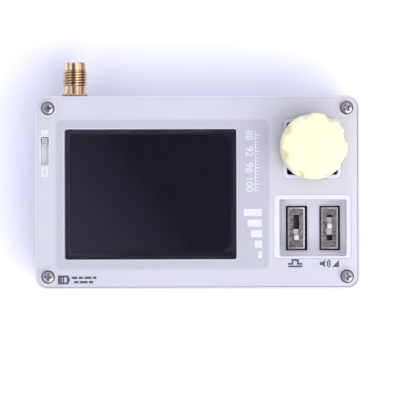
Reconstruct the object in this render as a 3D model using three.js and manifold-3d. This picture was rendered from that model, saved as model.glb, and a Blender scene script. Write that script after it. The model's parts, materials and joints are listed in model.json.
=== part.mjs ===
// Pocket multi-band radio receiver: a white case with a frosted front panel, a colour display, a tuning
// knob on a rotary encoder, two recessed slide controls, a power switch in a slot of the panel and an
// antenna socket.
// Millimetres. The origin is the centre of the rear cover's outer face; +X points to the right of the
// front face, +Y to the antenna edge and +Z out of the front face.
import * as THREE from "three";
import { mergeVertices } from "three/addons/utils/BufferGeometryUtils.js";
import Module from "manifold-3d";

const wasm = await Module();
wasm.setup();

// ---- Driving dimensions -----------------------------------------------------------------------------

// Case
const CASE_WIDTH = 84.8;
const CASE_HEIGHT = 50.5;
const CASE_RADIUS = 3.2;
const INNER = { x: 0, y: 0, width: 80.4, height: 46.4, radius: 1.2 };
const FLOOR_TOP = 2;
const SEAM_Z = 9.8;
const FACE_BOTTOM = 16;
const PANEL_BOTTOM = 17.5;
const PANEL_TOP = 19.5;
const REAR_CHAMFER = 0.5;
const REST_GAP = 0.05;
const LIP_THICKNESS = 0.85;
const LIP_HEIGHT = 0.9;
const POST_RADIUS = 2.8;
const SCREW_X = 39;
const SCREW_Y = 22;

// The panel lies in a recess of the frame, inside a thin rim that is flush with it
const RIM_WIDTH = 0.5;
const PANEL_INSET = 0.65;
const RIM_CHAMFER = 0.2;

// Windows in the front panel, each as centre x, centre y, width, height and corner radius
const DISPLAY_OPENING = { x: -12.27, y: -0.52, width: 44.95, height: 33.97, radius: 0.6 };
const KNOB_OPENING = { x: 30, y: 11.4, width: 15.4, height: 15.9, radius: 1.6 };
const SLIDER_OPENING = { x: 30, y: -9, width: 20.2, height: 16.7, radius: 0.8 };
const COLLAR_GAP = 0.12;
const COLLAR_TOP = 19.4;
const KNOB_WINDOW = { x: 30, y: 11.4, width: 13.2, height: 13.6, radius: 0.5 };
const SLIDER_WINDOW = { x: 30.15, y: -9.3, width: 17.5, height: 14.9, radius: 0.5 };
const DISPLAY_POCKET = { x: -9, y: -0.5, width: 55.4, height: 39, radius: 1.5 };
const SWITCH_OPENING = { x: -39.9, y: 10.9, width: 2.1, height: 7.4, radius: 0.4 };

// Sunken tray around the two slide controls
const TRAY_FLOOR_BOTTOM = 12.8;
const TRAY_FLOOR_TOP = 14;
const TRAY_WALL = 1.1;
const TRAY_CUTOUT = { width: 5.6, height: 11.65, radius: 0.3 };

// Circuit board
const BOARD_BOTTOM = 9;
const BOARD_TOP = 10.6;
const BOARD_EDGE_GAP = 0.4;
const BOARD_NOTCH_RADIUS = 3.4;
const UNDERSIDE = BOARD_BOTTOM - REST_GAP;
const TOPSIDE = BOARD_TOP + REST_GAP;

// Front screws and threaded inserts, M2
const SCREW_SHANK_RADIUS = 0.95;
const SCREW_HEAD_RADIUS = 1.8;
const SCREW_HEAD_HEIGHT = 1.35;
const SCREW_TIP_Z = 5.6;
const SCREW_HOLE_RADIUS = 1.2;
const CROSS_LENGTH = 1.9;
const CROSS_WIDTH = 0.42;
const CROSS_DEPTH = 0.8;
const INSERT_RADIUS = 1.6;
const INSERT_BORE_RADIUS = 1.08;
const INSERT_LENGTH = 4.4;

// Display module
const DISPLAY_BOARD = { x: -9, y: -0.5, width: 54.8, height: 38.4, radius: 1.2 };
const DISPLAY_BOARD_BOTTOM = 14.2;
const DISPLAY_BOARD_TOP = 15.2;
const GLASS = { x: -12.2, y: -0.55, width: 43.6, height: 32.7, radius: 0.6 };
const GLASS_BOTTOM = 15.75;
const GLASS_TOP = 17.35;

// Encoder and tuning knob
const KNOB_X = 30;
const KNOB_Y = 11.8;
const ENCODER_BODY = { x: KNOB_X, y: KNOB_Y, width: 11.8, height: 12, radius: 0.4 };
const ENCODER_TOP = 17.1;
const ENCODER_HOLLOW_RADIUS = 4;
const ENCODER_HOLLOW_TOP = 15.4;
const BUSHING_RADIUS = 3.5;
const BUSHING_BORE_RADIUS = 3.16;
const BUSHING_TOP = 22.1;
const SHAFT_RADIUS = 3;
const SHAFT_BOTTOM = 13;
const SHAFT_TOP = 29;
const SHAFT_FLAT = 1.5;
const PLUNGER_RADIUS = 3.6;
const PLUNGER_BOTTOM = 11.4;
const PLUNGER_TOP = 12.7;
const KNOB_RADIUS = 8.5;
const KNOB_BOTTOM = 20.3;
const KNOB_TOP = 30;
const KNOB_NOTCHES = 8;
const KNOB_NOTCH_START = THREE.MathUtils.degToRad(15.5);
const KNOB_NOTCH_RADIUS = 1.5;
const KNOB_NOTCH_DEPTH = 1.2;
const KNOB_EDGE = 0.7;
const KNOB_HOLLOW_RADIUS = 6.5;
const KNOB_SKIRT_RADIUS = 8.6;
const KNOB_SKIRT_TOP = 22.6;
const KNOB_HUB_RADIUS = 4.7;
const KNOB_ROOF_BOTTOM = 27.4;
const KNOB_BORE_RADIUS = 3.1;
const KNOB_BORE_TOP = 29.2;
const KNOB_COUNTERBORE_RADIUS = 3.85;
const KNOB_COUNTERBORE_TOP = 22.9;

// Slide controls: squelch on the left at the low end of its travel, volume on the right near the middle
const SLIDERS = [
  { name: "squelch", x: 26, leverY: -11.97 },
  { name: "volume", x: 34.8, leverY: -8.9 },
];
const CAN = { y: -9.3, width: 4.7, length: 11, radius: 0.35 };
const CAN_TOP = 14.3;
const CAN_SHEET = 0.3;
const CAN_SLOT_WIDTH = 1.5;
const CAN_SLOT_LENGTH = 6.7;
const POT_BASE_TOP = 12.7;
const CARRIAGE_WIDTH = 3.2;
const CARRIAGE_UP = 2.3;
const CARRIAGE_DOWN = 2.35;
const CARRIAGE_BOTTOM = 13;
const CARRIAGE_TOP = 13.7;
const LEVER_WIDTH = 1.3;
const LEVER_LENGTH = 1.3;
const LEVER_TOP = 15.25;

// Power switch: a slide switch with an upright lever in a slot of the front panel. A thin dust shield on
// the lever slides in a shallow pocket behind the panel and closes the slot at both ends of the travel.
const SWITCH_BODY = { left: -40.95, right: -38.15, low: 6, high: 15.2, bottom: 10.75, top: 15.5 };
const SWITCH_LEVER = { x: -39.9, y: 13.4, width: 1.5, length: 2, top: 18.9 };
const SWITCH_STEM = { width: 0.9, length: 1.2, bottom: 13.2 };
const SWITCH_STEM_SLOT = { width: 1.3, low: 8.2, high: 14.6, bottom: 13 };
const SHIELD = { width: 2, up: 5.3, down: 6.2, bottom: 17, top: 17.3 };
const SHIELD_POCKET = { left: -41.05, right: -38.75, low: 2.8, high: 18.9, bottom: 16.9 };
const SWITCH_BAY = { left: -41.1, low: 5.8, high: 15.4 };

// Antenna socket, SMA jack on the board's edge
const JACK_X = -32.55;
const JACK_Z = 9.8;
const JACK_FLANGE = 6.9;
const JACK_FLANGE_BACK = 23.3;
const JACK_FLANGE_FRONT = 25.75;
const JACK_BARREL_RADIUS = 2.75;
const JACK_THREAD_RADIUS = 3.175;
const JACK_THREAD_START = 28.3;
const JACK_PITCH = 0.7056;
const JACK_THREADS = 6;
const JACK_TIP = 34.6;
const JACK_BORE_RADIUS = 2.2;
const JACK_LEG = 1;
const JACK_LEG_BACK = 19.4;
const JACK_CONTACT_RADIUS = 0.64;
const JACK_CONTACT_HOLE = 0.42;

// Sockets on the underside of the board
const USB = { x: -3, width: 8.94, height: 3.2, sheet: 0.3, front: -24.85, back: -17.65 };
const USB_CLEARANCE = 0.35;
const PHONES = { x: 20, width: 6.2, height: 5, back: 12.2, z: 6.4 };
const PHONES_COLLAR_RADIUS = 2.45;
const PHONES_COLLAR_END = 24.95;
const PHONES_BORE_RADIUS = 1.8;

// Loudspeaker and grille
const SPEAKER = { x: 24, y: -8, radius: 10, bottom: 2.3, top: 6.3 };
const GRILLE_RADIUS = 8.2;
const GRILLE_SLOT = 1.4;
const GRILLE_PITCH = 2.5;
const GRILLE_SLOTS = 7;

// Battery
const BATTERY = { x: -3, y: -1, width: 30, height: 29, radius: 1.4, bottom: 2.65, top: 7.9 };

// Facets in each quarter turn of the case's corners
const CASE_CURVE_SEGMENTS = 3;

// ---- Solids -----------------------------------------------------------------------------------------

// A closed three.js geometry as a manifold solid.
function toSolid(geometry) {
  const bare = geometry.clone();
  bare.deleteAttribute("normal");
  bare.deleteAttribute("uv");
  const merged = mergeVertices(bare, 1e-4);
  return new wasm.Manifold(
    new wasm.Mesh({
      numProp: 3,
      vertProperties: new Float32Array(merged.attributes.position.array),
      triVerts: new Uint32Array(merged.index.array),
    }),
  );
}

// A manifold solid as a flat-shaded three.js geometry.
function toGeometry(solid) {
  const mesh = solid.getMesh();
  const geometry = new THREE.BufferGeometry();
  geometry.setAttribute("position", new THREE.BufferAttribute(mesh.vertProperties, 3));
  geometry.setIndex(new THREE.BufferAttribute(mesh.triVerts, 1));
  const flat = geometry.toNonIndexed();
  flat.computeVertexNormals();
  return flat;
}

function box(x0, x1, y0, y1, z0, z1) {
  const geometry = new THREE.BoxGeometry(x1 - x0, y1 - y0, z1 - z0);
  geometry.translate((x0 + x1) / 2, (y0 + y1) / 2, (z0 + z1) / 2);
  return toSolid(geometry);
}

function centredBox(x, y, width, height, z0, z1) {
  return box(x - width / 2, x + width / 2, y - height / 2, y + height / 2, z0, z1);
}

// An upright cylinder.
function disc(x, y, radius, z0, z1, segments = 20) {
  const geometry = new THREE.CylinderGeometry(radius, radius, z1 - z0, segments);
  geometry.rotateX(Math.PI / 2);
  geometry.translate(x, y, (z0 + z1) / 2);
  return toSolid(geometry);
}

// A cylinder along Y.
function rod(x, z, radius, y0, y1, segments = 20) {
  const geometry = new THREE.CylinderGeometry(radius, radius, y1 - y0, segments);
  geometry.translate(x, (y0 + y1) / 2, z);
  return toSolid(geometry);
}

// A turned solid about the upright axis, from a profile of [radius, z] points that starts and ends on it.
function turned(x, y, profile, segments = 20) {
  const points = profile.map(([radius, z]) => new THREE.Vector2(radius, z));
  const geometry = new THREE.LatheGeometry(points, segments);
  geometry.rotateX(Math.PI / 2);
  geometry.scale(1, -1, 1);
  const index = geometry.index.array;
  for (let i = 0; i < index.length; i += 3) {
    const first = index[i];
    index[i] = index[i + 1];
    index[i + 1] = first;
  }
  geometry.translate(x, y, 0);
  return toSolid(geometry);
}

function roundedShape(width, height, radius) {
  const x = width / 2;
  const y = height / 2;
  const shape = new THREE.Shape();
  shape.moveTo(-x + radius, -y);
  shape.lineTo(x - radius, -y);
  shape.absarc(x - radius, -y + radius, radius, -Math.PI / 2, 0, false);
  shape.lineTo(x, y - radius);
  shape.absarc(x - radius, y - radius, radius, 0, Math.PI / 2, false);
  shape.lineTo(-x + radius, y);
  shape.absarc(-x + radius, y - radius, radius, Math.PI / 2, Math.PI, false);
  shape.lineTo(-x, -y + radius);
  shape.absarc(-x + radius, -y + radius, radius, Math.PI, 1.5 * Math.PI, false);
  return shape;
}

function extruded(shape, z0, z1, curveSegments = 6) {
  const options = { depth: z1 - z0, bevelEnabled: false, curveSegments };
  const geometry = new THREE.ExtrudeGeometry(shape, options);
  geometry.translate(0, 0, z0);
  return toSolid(geometry);
}

// A rounded plate from a rectangle with x, y, width, height and radius.
function plate(rect, z0, z1, grow = 0, curveSegments = 2) {
  const radius = Math.max(rect.radius + grow, 0.1);
  const shape = roundedShape(rect.width + 2 * grow, rect.height + 2 * grow, radius);
  return extruded(shape, z0, z1, curveSegments).translate([rect.x, rect.y, 0]);
}

// A rounded block as high as the whole receiver, inset from the case's sides and chamfered at both ends,
// between two heights.
function chamferedBlock(inset, chamfer, z0, z1) {
  const shape = roundedShape(CASE_WIDTH - 2 * inset, CASE_HEIGHT - 2 * inset, CASE_RADIUS - inset);
  const geometry = new THREE.ExtrudeGeometry(shape, {
    depth: PANEL_TOP - 2 * chamfer,
    curveSegments: CASE_CURVE_SEGMENTS,
    bevelSegments: 1,
    bevelThickness: chamfer,
    bevelSize: chamfer,
    bevelOffset: -chamfer,
  });
  geometry.translate(0, 0, chamfer);
  return toSolid(geometry).intersect(centredBox(0, 0, CASE_WIDTH + 2, CASE_HEIGHT + 2, z0, z1));
}

// A slot along X with round ends, upright through z0 to z1.
function slotX(x, y, length, width, z0, z1) {
  return plate({ x, y, width: length, height: width, radius: width / 2 - 0.001 }, z0, z1);
}

// ---- Materials and the assembly ---------------------------------------------------------------------

function material(color, roughness, metalness = 0) {
  return new THREE.MeshStandardMaterial({ color, roughness, metalness });
}

const CASE_WHITE = material(0xe6e5f0, 0.55);
const FROSTED = material(0xdedeea, 0.4);
const LENS = material(0x14131a, 0.08);
const GLASS_BLACK = material(0x1b1a24, 0.15);
const STEEL = material(0x8f8b88, 0.35, 1);
const BRASS = material(0xc79a5b, 0.3, 1);
const GOLD = material(0xd6a868, 0.28, 1);
const NICKEL = material(0x8d8480, 0.38, 1);
const BOARD_BLACK = material(0x16181a, 0.5);
const BLACK_PLASTIC = material(0x1c1c1e, 0.5);
const WHITE_PLASTIC = material(0xe9e9ea, 0.45);
const CREAM = material(0xf6efc9, 0.5);
const SILVER_FOIL = material(0xb9bcc2, 0.42, 0.4);
const FOAM = material(0x2c2d30, 0.9);
const PAPER = material(0x26262a, 0.85);
const RED_WIRE = material(0xb32626, 0.5);
const BLACK_WIRE = material(0x202022, 0.5);
const AMBER_FILM = material(0xb9752e, 0.4);
const PTFE = material(0xf1efe9, 0.5);

const radio = new THREE.Group();

function add(name, solid, finish) {
  const mesh = new THREE.Mesh(toGeometry(solid), finish);
  mesh.name = name;
  radio.add(mesh);
}

// ---- Places used by several pieces ------------------------------------------------------------------

const CORNERS = [
  [-SCREW_X, SCREW_Y],
  [SCREW_X, SCREW_Y],
  [SCREW_X, -SCREW_Y],
  [-SCREW_X, -SCREW_Y],
];
const usbCentreZ = UNDERSIDE - USB.height / 2;
const jackHole = JACK_FLANGE / 2 + 0.15;
const jackLeft = JACK_X - jackHole;
const jackRight = JACK_X + jackHole;
const jackCut = box(jackLeft, jackRight, 20, CASE_HEIGHT, JACK_Z - jackHole, JACK_Z + jackHole);

// ---- Case -------------------------------------------------------------------------------------------

function rearCover() {
  const top = SEAM_Z - REST_GAP;
  const outside = chamferedBlock(0, REAR_CHAMFER, 0, top);
  let cover = outside.subtract(plate(INNER, FLOOR_TOP, top + 1));
  const lipOutside = plate(INNER, top - 1, top + LIP_HEIGHT, LIP_THICKNESS);
  const lip = lipOutside.subtract(plate(INNER, top - 2, top + 2));
  cover = cover.add(lip);
  for (const [x, y] of CORNERS) {
    cover = cover.add(disc(x, y, POST_RADIUS, FLOOR_TOP - 0.5, top).intersect(outside));
  }
  for (const side of [-1, 1]) {
    const wallX = side * (INNER.width / 2 - 0.4);
    cover = cover.add(centredBox(wallX, -10, 1.4, 5, FLOOR_TOP - 0.5, UNDERSIDE));
  }
  const holeBottom = top - INSERT_LENGTH - 0.6;
  for (const [x, y] of CORNERS) {
    cover = cover.subtract(disc(x, y, INSERT_RADIUS + 0.1, holeBottom, top + 2));
  }
  const usbMouth = {
    x: USB.x,
    y: 0,
    width: USB.width + 2 * USB_CLEARANCE,
    height: USB.height + 2 * USB_CLEARANCE,
    radius: USB.height / 2,
  };
  const usbCut = plate(usbMouth, 20, 30).rotate([90, 0, 0]).translate([0, 0, usbCentreZ]);
  const phonesCut = rod(PHONES.x, PHONES.z, PHONES_COLLAR_RADIUS + 0.2, 20, CASE_HEIGHT);
  return cover.subtract(usbCut).subtract(phonesCut).subtract(jackCut).subtract(grilleCut());
}

// Parallel slots clipped to the grille's circle.
function grilleCut() {
  let slots = null;
  const first = -(GRILLE_SLOTS - 1) / 2;
  for (let i = 0; i < GRILLE_SLOTS; i += 1) {
    const offset = (first + i) * GRILLE_PITCH;
    const length = 2 * Math.sqrt(GRILLE_RADIUS ** 2 - offset ** 2);
    const slot = slotX(SPEAKER.x, SPEAKER.y + offset, length, GRILLE_SLOT, -1, FLOOR_TOP + 1);
    slots = slots ? slots.add(slot) : slot;
  }
  return slots;
}

function frontFrame() {
  const top = PANEL_BOTTOM - REST_GAP;
  const outside = chamferedBlock(0, RIM_CHAMFER, SEAM_Z, PANEL_TOP);
  const recess = {
    x: 0,
    y: 0,
    width: CASE_WIDTH - 2 * RIM_WIDTH,
    height: CASE_HEIGHT - 2 * RIM_WIDTH,
    radius: CASE_RADIUS - RIM_WIDTH,
  };
  let frame = outside.subtract(plate(recess, top, PANEL_TOP + 1, 0, CASE_CURVE_SEGMENTS));
  frame = frame.subtract(plate(INNER, SEAM_Z - 1, FACE_BOTTOM));
  const rebateGap = 0.12;
  frame = frame.subtract(
    plate(INNER, SEAM_Z - 1, SEAM_Z + LIP_HEIGHT + rebateGap, LIP_THICKNESS + rebateGap),
  );
  for (const [x, y] of CORNERS) {
    const clearOfLip = SEAM_Z + LIP_HEIGHT + rebateGap;
    const post = disc(x, y, POST_RADIUS, clearOfLip, FACE_BOTTOM + 0.5).intersect(outside);
    frame = frame.add(post);
  }
  frame = frame.subtract(plate(DISPLAY_POCKET, FACE_BOTTOM - 1, top + 1));
  frame = frame.add(plate(SLIDER_WINDOW, TRAY_FLOOR_BOTTOM, top, TRAY_WALL).intersect(insideCase(top)));
  frame = frame.add(plate(KNOB_OPENING, FACE_BOTTOM, COLLAR_TOP, -COLLAR_GAP));
  frame = frame.add(plate(SLIDER_OPENING, FACE_BOTTOM, COLLAR_TOP, -COLLAR_GAP));
  frame = frame.subtract(plate(KNOB_WINDOW, FACE_BOTTOM - 1, COLLAR_TOP + 1));
  frame = frame.subtract(plate(SLIDER_WINDOW, TRAY_FLOOR_TOP, COLLAR_TOP + 1));
  for (const slider of SLIDERS) {
    const cutout = { ...TRAY_CUTOUT, x: slider.x, y: CAN.y };
    frame = frame.subtract(plate(cutout, TRAY_FLOOR_BOTTOM - 1, TRAY_FLOOR_TOP + 1));
  }
  for (const [x, y] of CORNERS) {
    frame = frame.subtract(disc(x, y, SCREW_HOLE_RADIUS, SEAM_Z, top + 1, 16));
  }
  frame = frame.subtract(plate(SWITCH_OPENING, FACE_BOTTOM - 1, top + 1));
  const { left, right, low, high, bottom } = SHIELD_POCKET;
  frame = frame.subtract(box(left, right, low, high, bottom, top + 1));
  const bay = SWITCH_BAY;
  const bayRight = 1 - INNER.width / 2;
  frame = frame.subtract(box(bay.left, bayRight, bay.low, bay.high, SEAM_Z + LIP_HEIGHT, FACE_BOTTOM));
  return frame.subtract(jackCut);
}

// The space that the inner walls of the case enclose, up to a height.
function insideCase(top) {
  return plate(INNER, SEAM_Z, top, 0.3);
}

function frontPanel() {
  let panel = chamferedBlock(PANEL_INSET, RIM_CHAMFER, PANEL_BOTTOM, PANEL_TOP);
  for (const opening of [DISPLAY_OPENING, KNOB_OPENING, SLIDER_OPENING, SWITCH_OPENING]) {
    panel = panel.subtract(plate(opening, PANEL_BOTTOM - 1, PANEL_TOP + 1));
  }
  for (const [x, y] of CORNERS) {
    panel = panel.subtract(disc(x, y, SCREW_HOLE_RADIUS, PANEL_BOTTOM - 1, PANEL_TOP + 1, 16));
  }
  return panel;
}

// A pan head on a plain shank, with a cross recess.
function frontScrew(x, y) {
  const seat = PANEL_TOP + REST_GAP;
  const head = SCREW_HEAD_RADIUS;
  const crown = seat + SCREW_HEAD_HEIGHT;
  const profile = [
    [0, SCREW_TIP_Z],
    [SCREW_SHANK_RADIUS * 0.7, SCREW_TIP_Z],
    [SCREW_SHANK_RADIUS, SCREW_TIP_Z + 0.5],
    [SCREW_SHANK_RADIUS, seat],
    [head, seat],
    [head, seat + 0.55],
    [head * 0.86, seat + 0.95],
    [head * 0.5, crown - 0.08],
    [0, crown],
  ];
  const recessBottom = crown - CROSS_DEPTH;
  const across = centredBox(x, y, CROSS_LENGTH, CROSS_WIDTH, recessBottom, crown + 1);
  const along = centredBox(x, y, CROSS_WIDTH, CROSS_LENGTH, recessBottom, crown + 1);
  return turned(x, y, profile, 16).subtract(across.add(along));
}

// A knurled brass sleeve with a waist between its two knurled bands.
function threadedInsert(x, y) {
  const top = SEAM_Z - REST_GAP;
  const bottom = top - INSERT_LENGTH;
  const waist = INSERT_RADIUS - 0.25;
  const profile = [
    [0, bottom],
    [INSERT_RADIUS, bottom],
    [INSERT_RADIUS, bottom + 1.6],
    [waist, bottom + 1.9],
    [waist, bottom + 2.5],
    [INSERT_RADIUS, bottom + 2.8],
    [INSERT_RADIUS, top],
    [0, top],
  ];
  return turned(x, y, profile, 12).subtract(disc(x, y, INSERT_BORE_RADIUS, bottom - 1, top + 1, 12));
}

// ---- Boards and chips -------------------------------------------------------------------------------

function mainBoard() {
  const outline = {
    x: 0,
    y: 0,
    width: INNER.width - 2 * BOARD_EDGE_GAP,
    height: INNER.height - 2 * BOARD_EDGE_GAP,
    radius: 0.8,
  };
  let board = plate(outline, BOARD_BOTTOM, BOARD_TOP);
  for (const [x, y] of CORNERS) {
    board = board.subtract(disc(x, y, BOARD_NOTCH_RADIUS, BOARD_BOTTOM - 1, BOARD_TOP + 1, 20));
  }
  return board;
}

// A pressed metal can over a circuit, open towards the board.
function shieldCan(rect, z0, z1, openAtTop) {
  const sheet = 0.3;
  const inside = openAtTop ? [z0 + sheet, z1 + 1] : [z0 - 1, z1 - sheet];
  return plate(rect, z0, z1).subtract(plate(rect, inside[0], inside[1], -sheet));
}

function addBoards() {
  add("main_pcb", mainBoard(), BOARD_BLACK);

  const moduleRect = { x: -8, y: 0, width: 25.5, height: 18, radius: 0.4 };
  add("mcu_module", plate(moduleRect, TOPSIDE, TOPSIDE + 0.8), BOARD_BLACK);
  const mcuShieldRect = { x: -10.6, y: 0, width: 17.6, height: 15.8, radius: 0.6 };
  add("mcu_shield", shieldCan(mcuShieldRect, TOPSIDE + 0.85, TOPSIDE + 3.1, false), NICKEL);

  const tunerRect = { x: -28.5, y: 4, width: 17, height: 20, radius: 0.6 };
  add("tuner_shield", shieldCan(tunerRect, UNDERSIDE - 2.8, UNDERSIDE, true), NICKEL);

  const chip = centredBox(31, 16, 5, 4, UNDERSIDE - 1.6, UNDERSIDE - 0.15);
  const legs = centredBox(31, 16, 4.2, 6, UNDERSIDE - 0.5, UNDERSIDE);
  add("audio_amplifier", chip.add(legs), BLACK_PLASTIC);

  const plug = centredBox(17, 6, 4.6, 5.6, UNDERSIDE - 3.4, UNDERSIDE);
  const plugMouth = box(14, 16.4, 3.9, 8.1, UNDERSIDE - 2.8, UNDERSIDE - 0.6);
  add("battery_connector", plug.subtract(plugMouth), WHITE_PLASTIC);
}

// ---- Display ----------------------------------------------------------------------------------------

function addDisplay() {
  add("display_window", plate(DISPLAY_OPENING, PANEL_BOTTOM + REST_GAP, PANEL_TOP - 0.15, -0.1), LENS);
  add("display_glass", plate(GLASS, GLASS_BOTTOM, GLASS_TOP), GLASS_BLACK);
  const trayBottom = DISPLAY_BOARD_TOP + REST_GAP;
  const trayTop = GLASS_BOTTOM + 0.8;
  const tray = plate(GLASS, trayBottom, trayTop, 0.5).subtract(
    plate(GLASS, GLASS_BOTTOM - REST_GAP, trayTop + 1, 0.1),
  );
  add("display_backlight_tray", tray, NICKEL);
  add("display_board", plate(DISPLAY_BOARD, DISPLAY_BOARD_BOTTOM, DISPLAY_BOARD_TOP), BOARD_BLACK);
  const ribbonRect = { x: 14.3, y: -0.55, width: 6, height: 14, radius: 0.5 };
  const ribbon = plate(ribbonRect, trayBottom, trayBottom + 0.25);
  const stiffener = centredBox(16.6, -0.55, 1.4, 14, trayBottom, trayBottom + 0.9);
  add("display_ribbon", ribbon.add(stiffener), AMBER_FILM);
  const headerTop = DISPLAY_BOARD_BOTTOM - REST_GAP;
  let header = centredBox(-9, 16.4, 20.3, 2.5, TOPSIDE, headerTop);
  for (let pin = 1; pin < 8; pin += 1) {
    const notchX = -9 - 20.3 / 2 + pin * 2.54;
    for (const side of [-1, 1]) {
      const notchY = 16.4 + side * 1.25;
      header = header.subtract(centredBox(notchX, notchY, 0.5, 0.5, TOPSIDE - 1, headerTop + 1));
    }
  }
  add("display_header", header, BLACK_PLASTIC);
}

// ---- Encoder and tuning knob ------------------------------------------------------------------------

// Outline of the knob's grip, drawn a little inside its rim: broad bumps with a round notch between
// each two.
function knobShape(inset) {
  const shape = new THREE.Shape();
  const pitch = (2 * Math.PI) / KNOB_NOTCHES;
  const radius = KNOB_RADIUS - inset;
  const notchRadius = KNOB_NOTCH_RADIUS + inset;
  const notchDistance = KNOB_RADIUS + KNOB_NOTCH_RADIUS - KNOB_NOTCH_DEPTH;
  const cosHalf = (radius ** 2 + notchDistance ** 2 - notchRadius ** 2) / (2 * radius * notchDistance);
  const half = Math.acos(cosHalf);
  const cornerAlong = radius * cosHalf - notchDistance;
  const cornerAcross = radius * Math.sin(half);
  const sweep = Math.PI - Math.atan2(cornerAcross, cornerAlong);
  for (let i = 0; i < KNOB_NOTCHES; i += 1) {
    const angle = KNOB_NOTCH_START + i * pitch;
    const x = notchDistance * Math.cos(angle);
    const y = notchDistance * Math.sin(angle);
    shape.absarc(x, y, notchRadius, angle + Math.PI + sweep, angle + Math.PI - sweep, true);
    shape.absarc(0, 0, radius, angle + half, angle + pitch - half, false);
  }
  shape.closePath();
  return shape;
}

function tuningKnob() {
  const shape = knobShape(KNOB_EDGE);
  const geometry = new THREE.ExtrudeGeometry(shape, {
    depth: KNOB_TOP - KNOB_BOTTOM - 2 * KNOB_EDGE,
    curveSegments: 3,
    bevelSegments: 2,
    bevelThickness: KNOB_EDGE,
    bevelSize: KNOB_EDGE,
  });
  geometry.translate(KNOB_X, KNOB_Y, KNOB_BOTTOM + KNOB_EDGE);
  const skirt = disc(KNOB_X, KNOB_Y, KNOB_SKIRT_RADIUS, KNOB_BOTTOM, KNOB_SKIRT_TOP, 40);
  const hollow = disc(KNOB_X, KNOB_Y, KNOB_HOLLOW_RADIUS, KNOB_BOTTOM - 1, KNOB_ROOF_BOTTOM);
  const hub = disc(KNOB_X, KNOB_Y, KNOB_HUB_RADIUS, KNOB_BOTTOM, KNOB_ROOF_BOTTOM + 1);
  const bore = disc(KNOB_X, KNOB_Y, KNOB_BORE_RADIUS, KNOB_BOTTOM - 1, KNOB_BORE_TOP);
  const counterbore = disc(KNOB_X, KNOB_Y, KNOB_COUNTERBORE_RADIUS, KNOB_BOTTOM - 1, KNOB_COUNTERBORE_TOP);
  return toSolid(geometry).add(skirt).subtract(hollow).add(hub).subtract(bore).subtract(counterbore);
}

function addEncoder() {
  const hollow = disc(KNOB_X, KNOB_Y, ENCODER_HOLLOW_RADIUS, TOPSIDE - 1, ENCODER_HOLLOW_TOP);
  const neck = disc(KNOB_X, KNOB_Y, SHAFT_RADIUS + 0.3, TOPSIDE, ENCODER_TOP + 1);
  const body = plate(ENCODER_BODY, TOPSIDE, ENCODER_TOP).subtract(hollow).subtract(neck);
  add("encoder_body", body, NICKEL);

  const bushingBottom = ENCODER_TOP + REST_GAP;
  const flange = disc(KNOB_X, KNOB_Y, BUSHING_RADIUS + 0.9, bushingBottom, bushingBottom + 0.5);
  const sleeve = disc(KNOB_X, KNOB_Y, BUSHING_RADIUS, bushingBottom, BUSHING_TOP);
  const bushingBore = disc(KNOB_X, KNOB_Y, BUSHING_BORE_RADIUS, bushingBottom - 1, BUSHING_TOP + 1);
  add("encoder_bushing", flange.add(sleeve).subtract(bushingBore), NICKEL);

  const flatLeft = KNOB_X + SHAFT_FLAT;
  const flat = box(flatLeft, KNOB_X + 4, KNOB_Y - 4, KNOB_Y + 4, BUSHING_TOP + 1, SHAFT_TOP + 1);
  add("encoder_shaft", disc(KNOB_X, KNOB_Y, SHAFT_RADIUS, SHAFT_BOTTOM, SHAFT_TOP).subtract(flat), BRASS);

  const foot = disc(KNOB_X, KNOB_Y, PLUNGER_RADIUS, PLUNGER_BOTTOM, PLUNGER_TOP - 0.4);
  const nub = disc(KNOB_X, KNOB_Y, PLUNGER_RADIUS * 0.5, PLUNGER_BOTTOM, PLUNGER_TOP);
  add("encoder_plunger", foot.add(nub), BLACK_PLASTIC);

  add("tuning_knob", tuningKnob(), CREAM);
}

// ---- Slide controls ---------------------------------------------------------------------------------

function addSlider({ name, x, leverY }) {
  const canRect = { x, y: CAN.y, width: CAN.width, height: CAN.length, radius: CAN.radius };
  const slotRect = { x, y: CAN.y, width: CAN_SLOT_WIDTH, height: CAN_SLOT_LENGTH, radius: 0.2 };
  const can = plate(canRect, TOPSIDE, CAN_TOP)
    .subtract(plate(canRect, TOPSIDE - 1, CAN_TOP - CAN_SHEET, -CAN_SHEET))
    .subtract(plate(slotRect, CAN_TOP - 1, CAN_TOP + 1));
  add(name + "_pot_can", can, NICKEL);

  const base = plate(canRect, TOPSIDE, POT_BASE_TOP, -CAN_SHEET - 0.1);
  const track = centredBox(x, CAN.y, 1, CAN.length - 2, POT_BASE_TOP - 0.3, POT_BASE_TOP + 1);
  add(name + "_pot_base", base.subtract(track), BLACK_PLASTIC);

  const half = CARRIAGE_WIDTH / 2;
  const carriage = box(x - half, x + half, leverY - CARRIAGE_DOWN, leverY + CARRIAGE_UP,
    CARRIAGE_BOTTOM, CARRIAGE_TOP);
  const lever = centredBox(x, leverY, LEVER_WIDTH, LEVER_LENGTH, CARRIAGE_BOTTOM, LEVER_TOP);
  add(name + "_slider", carriage.add(lever), WHITE_PLASTIC);
}

// ---- Power switch -----------------------------------------------------------------------------------

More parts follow.
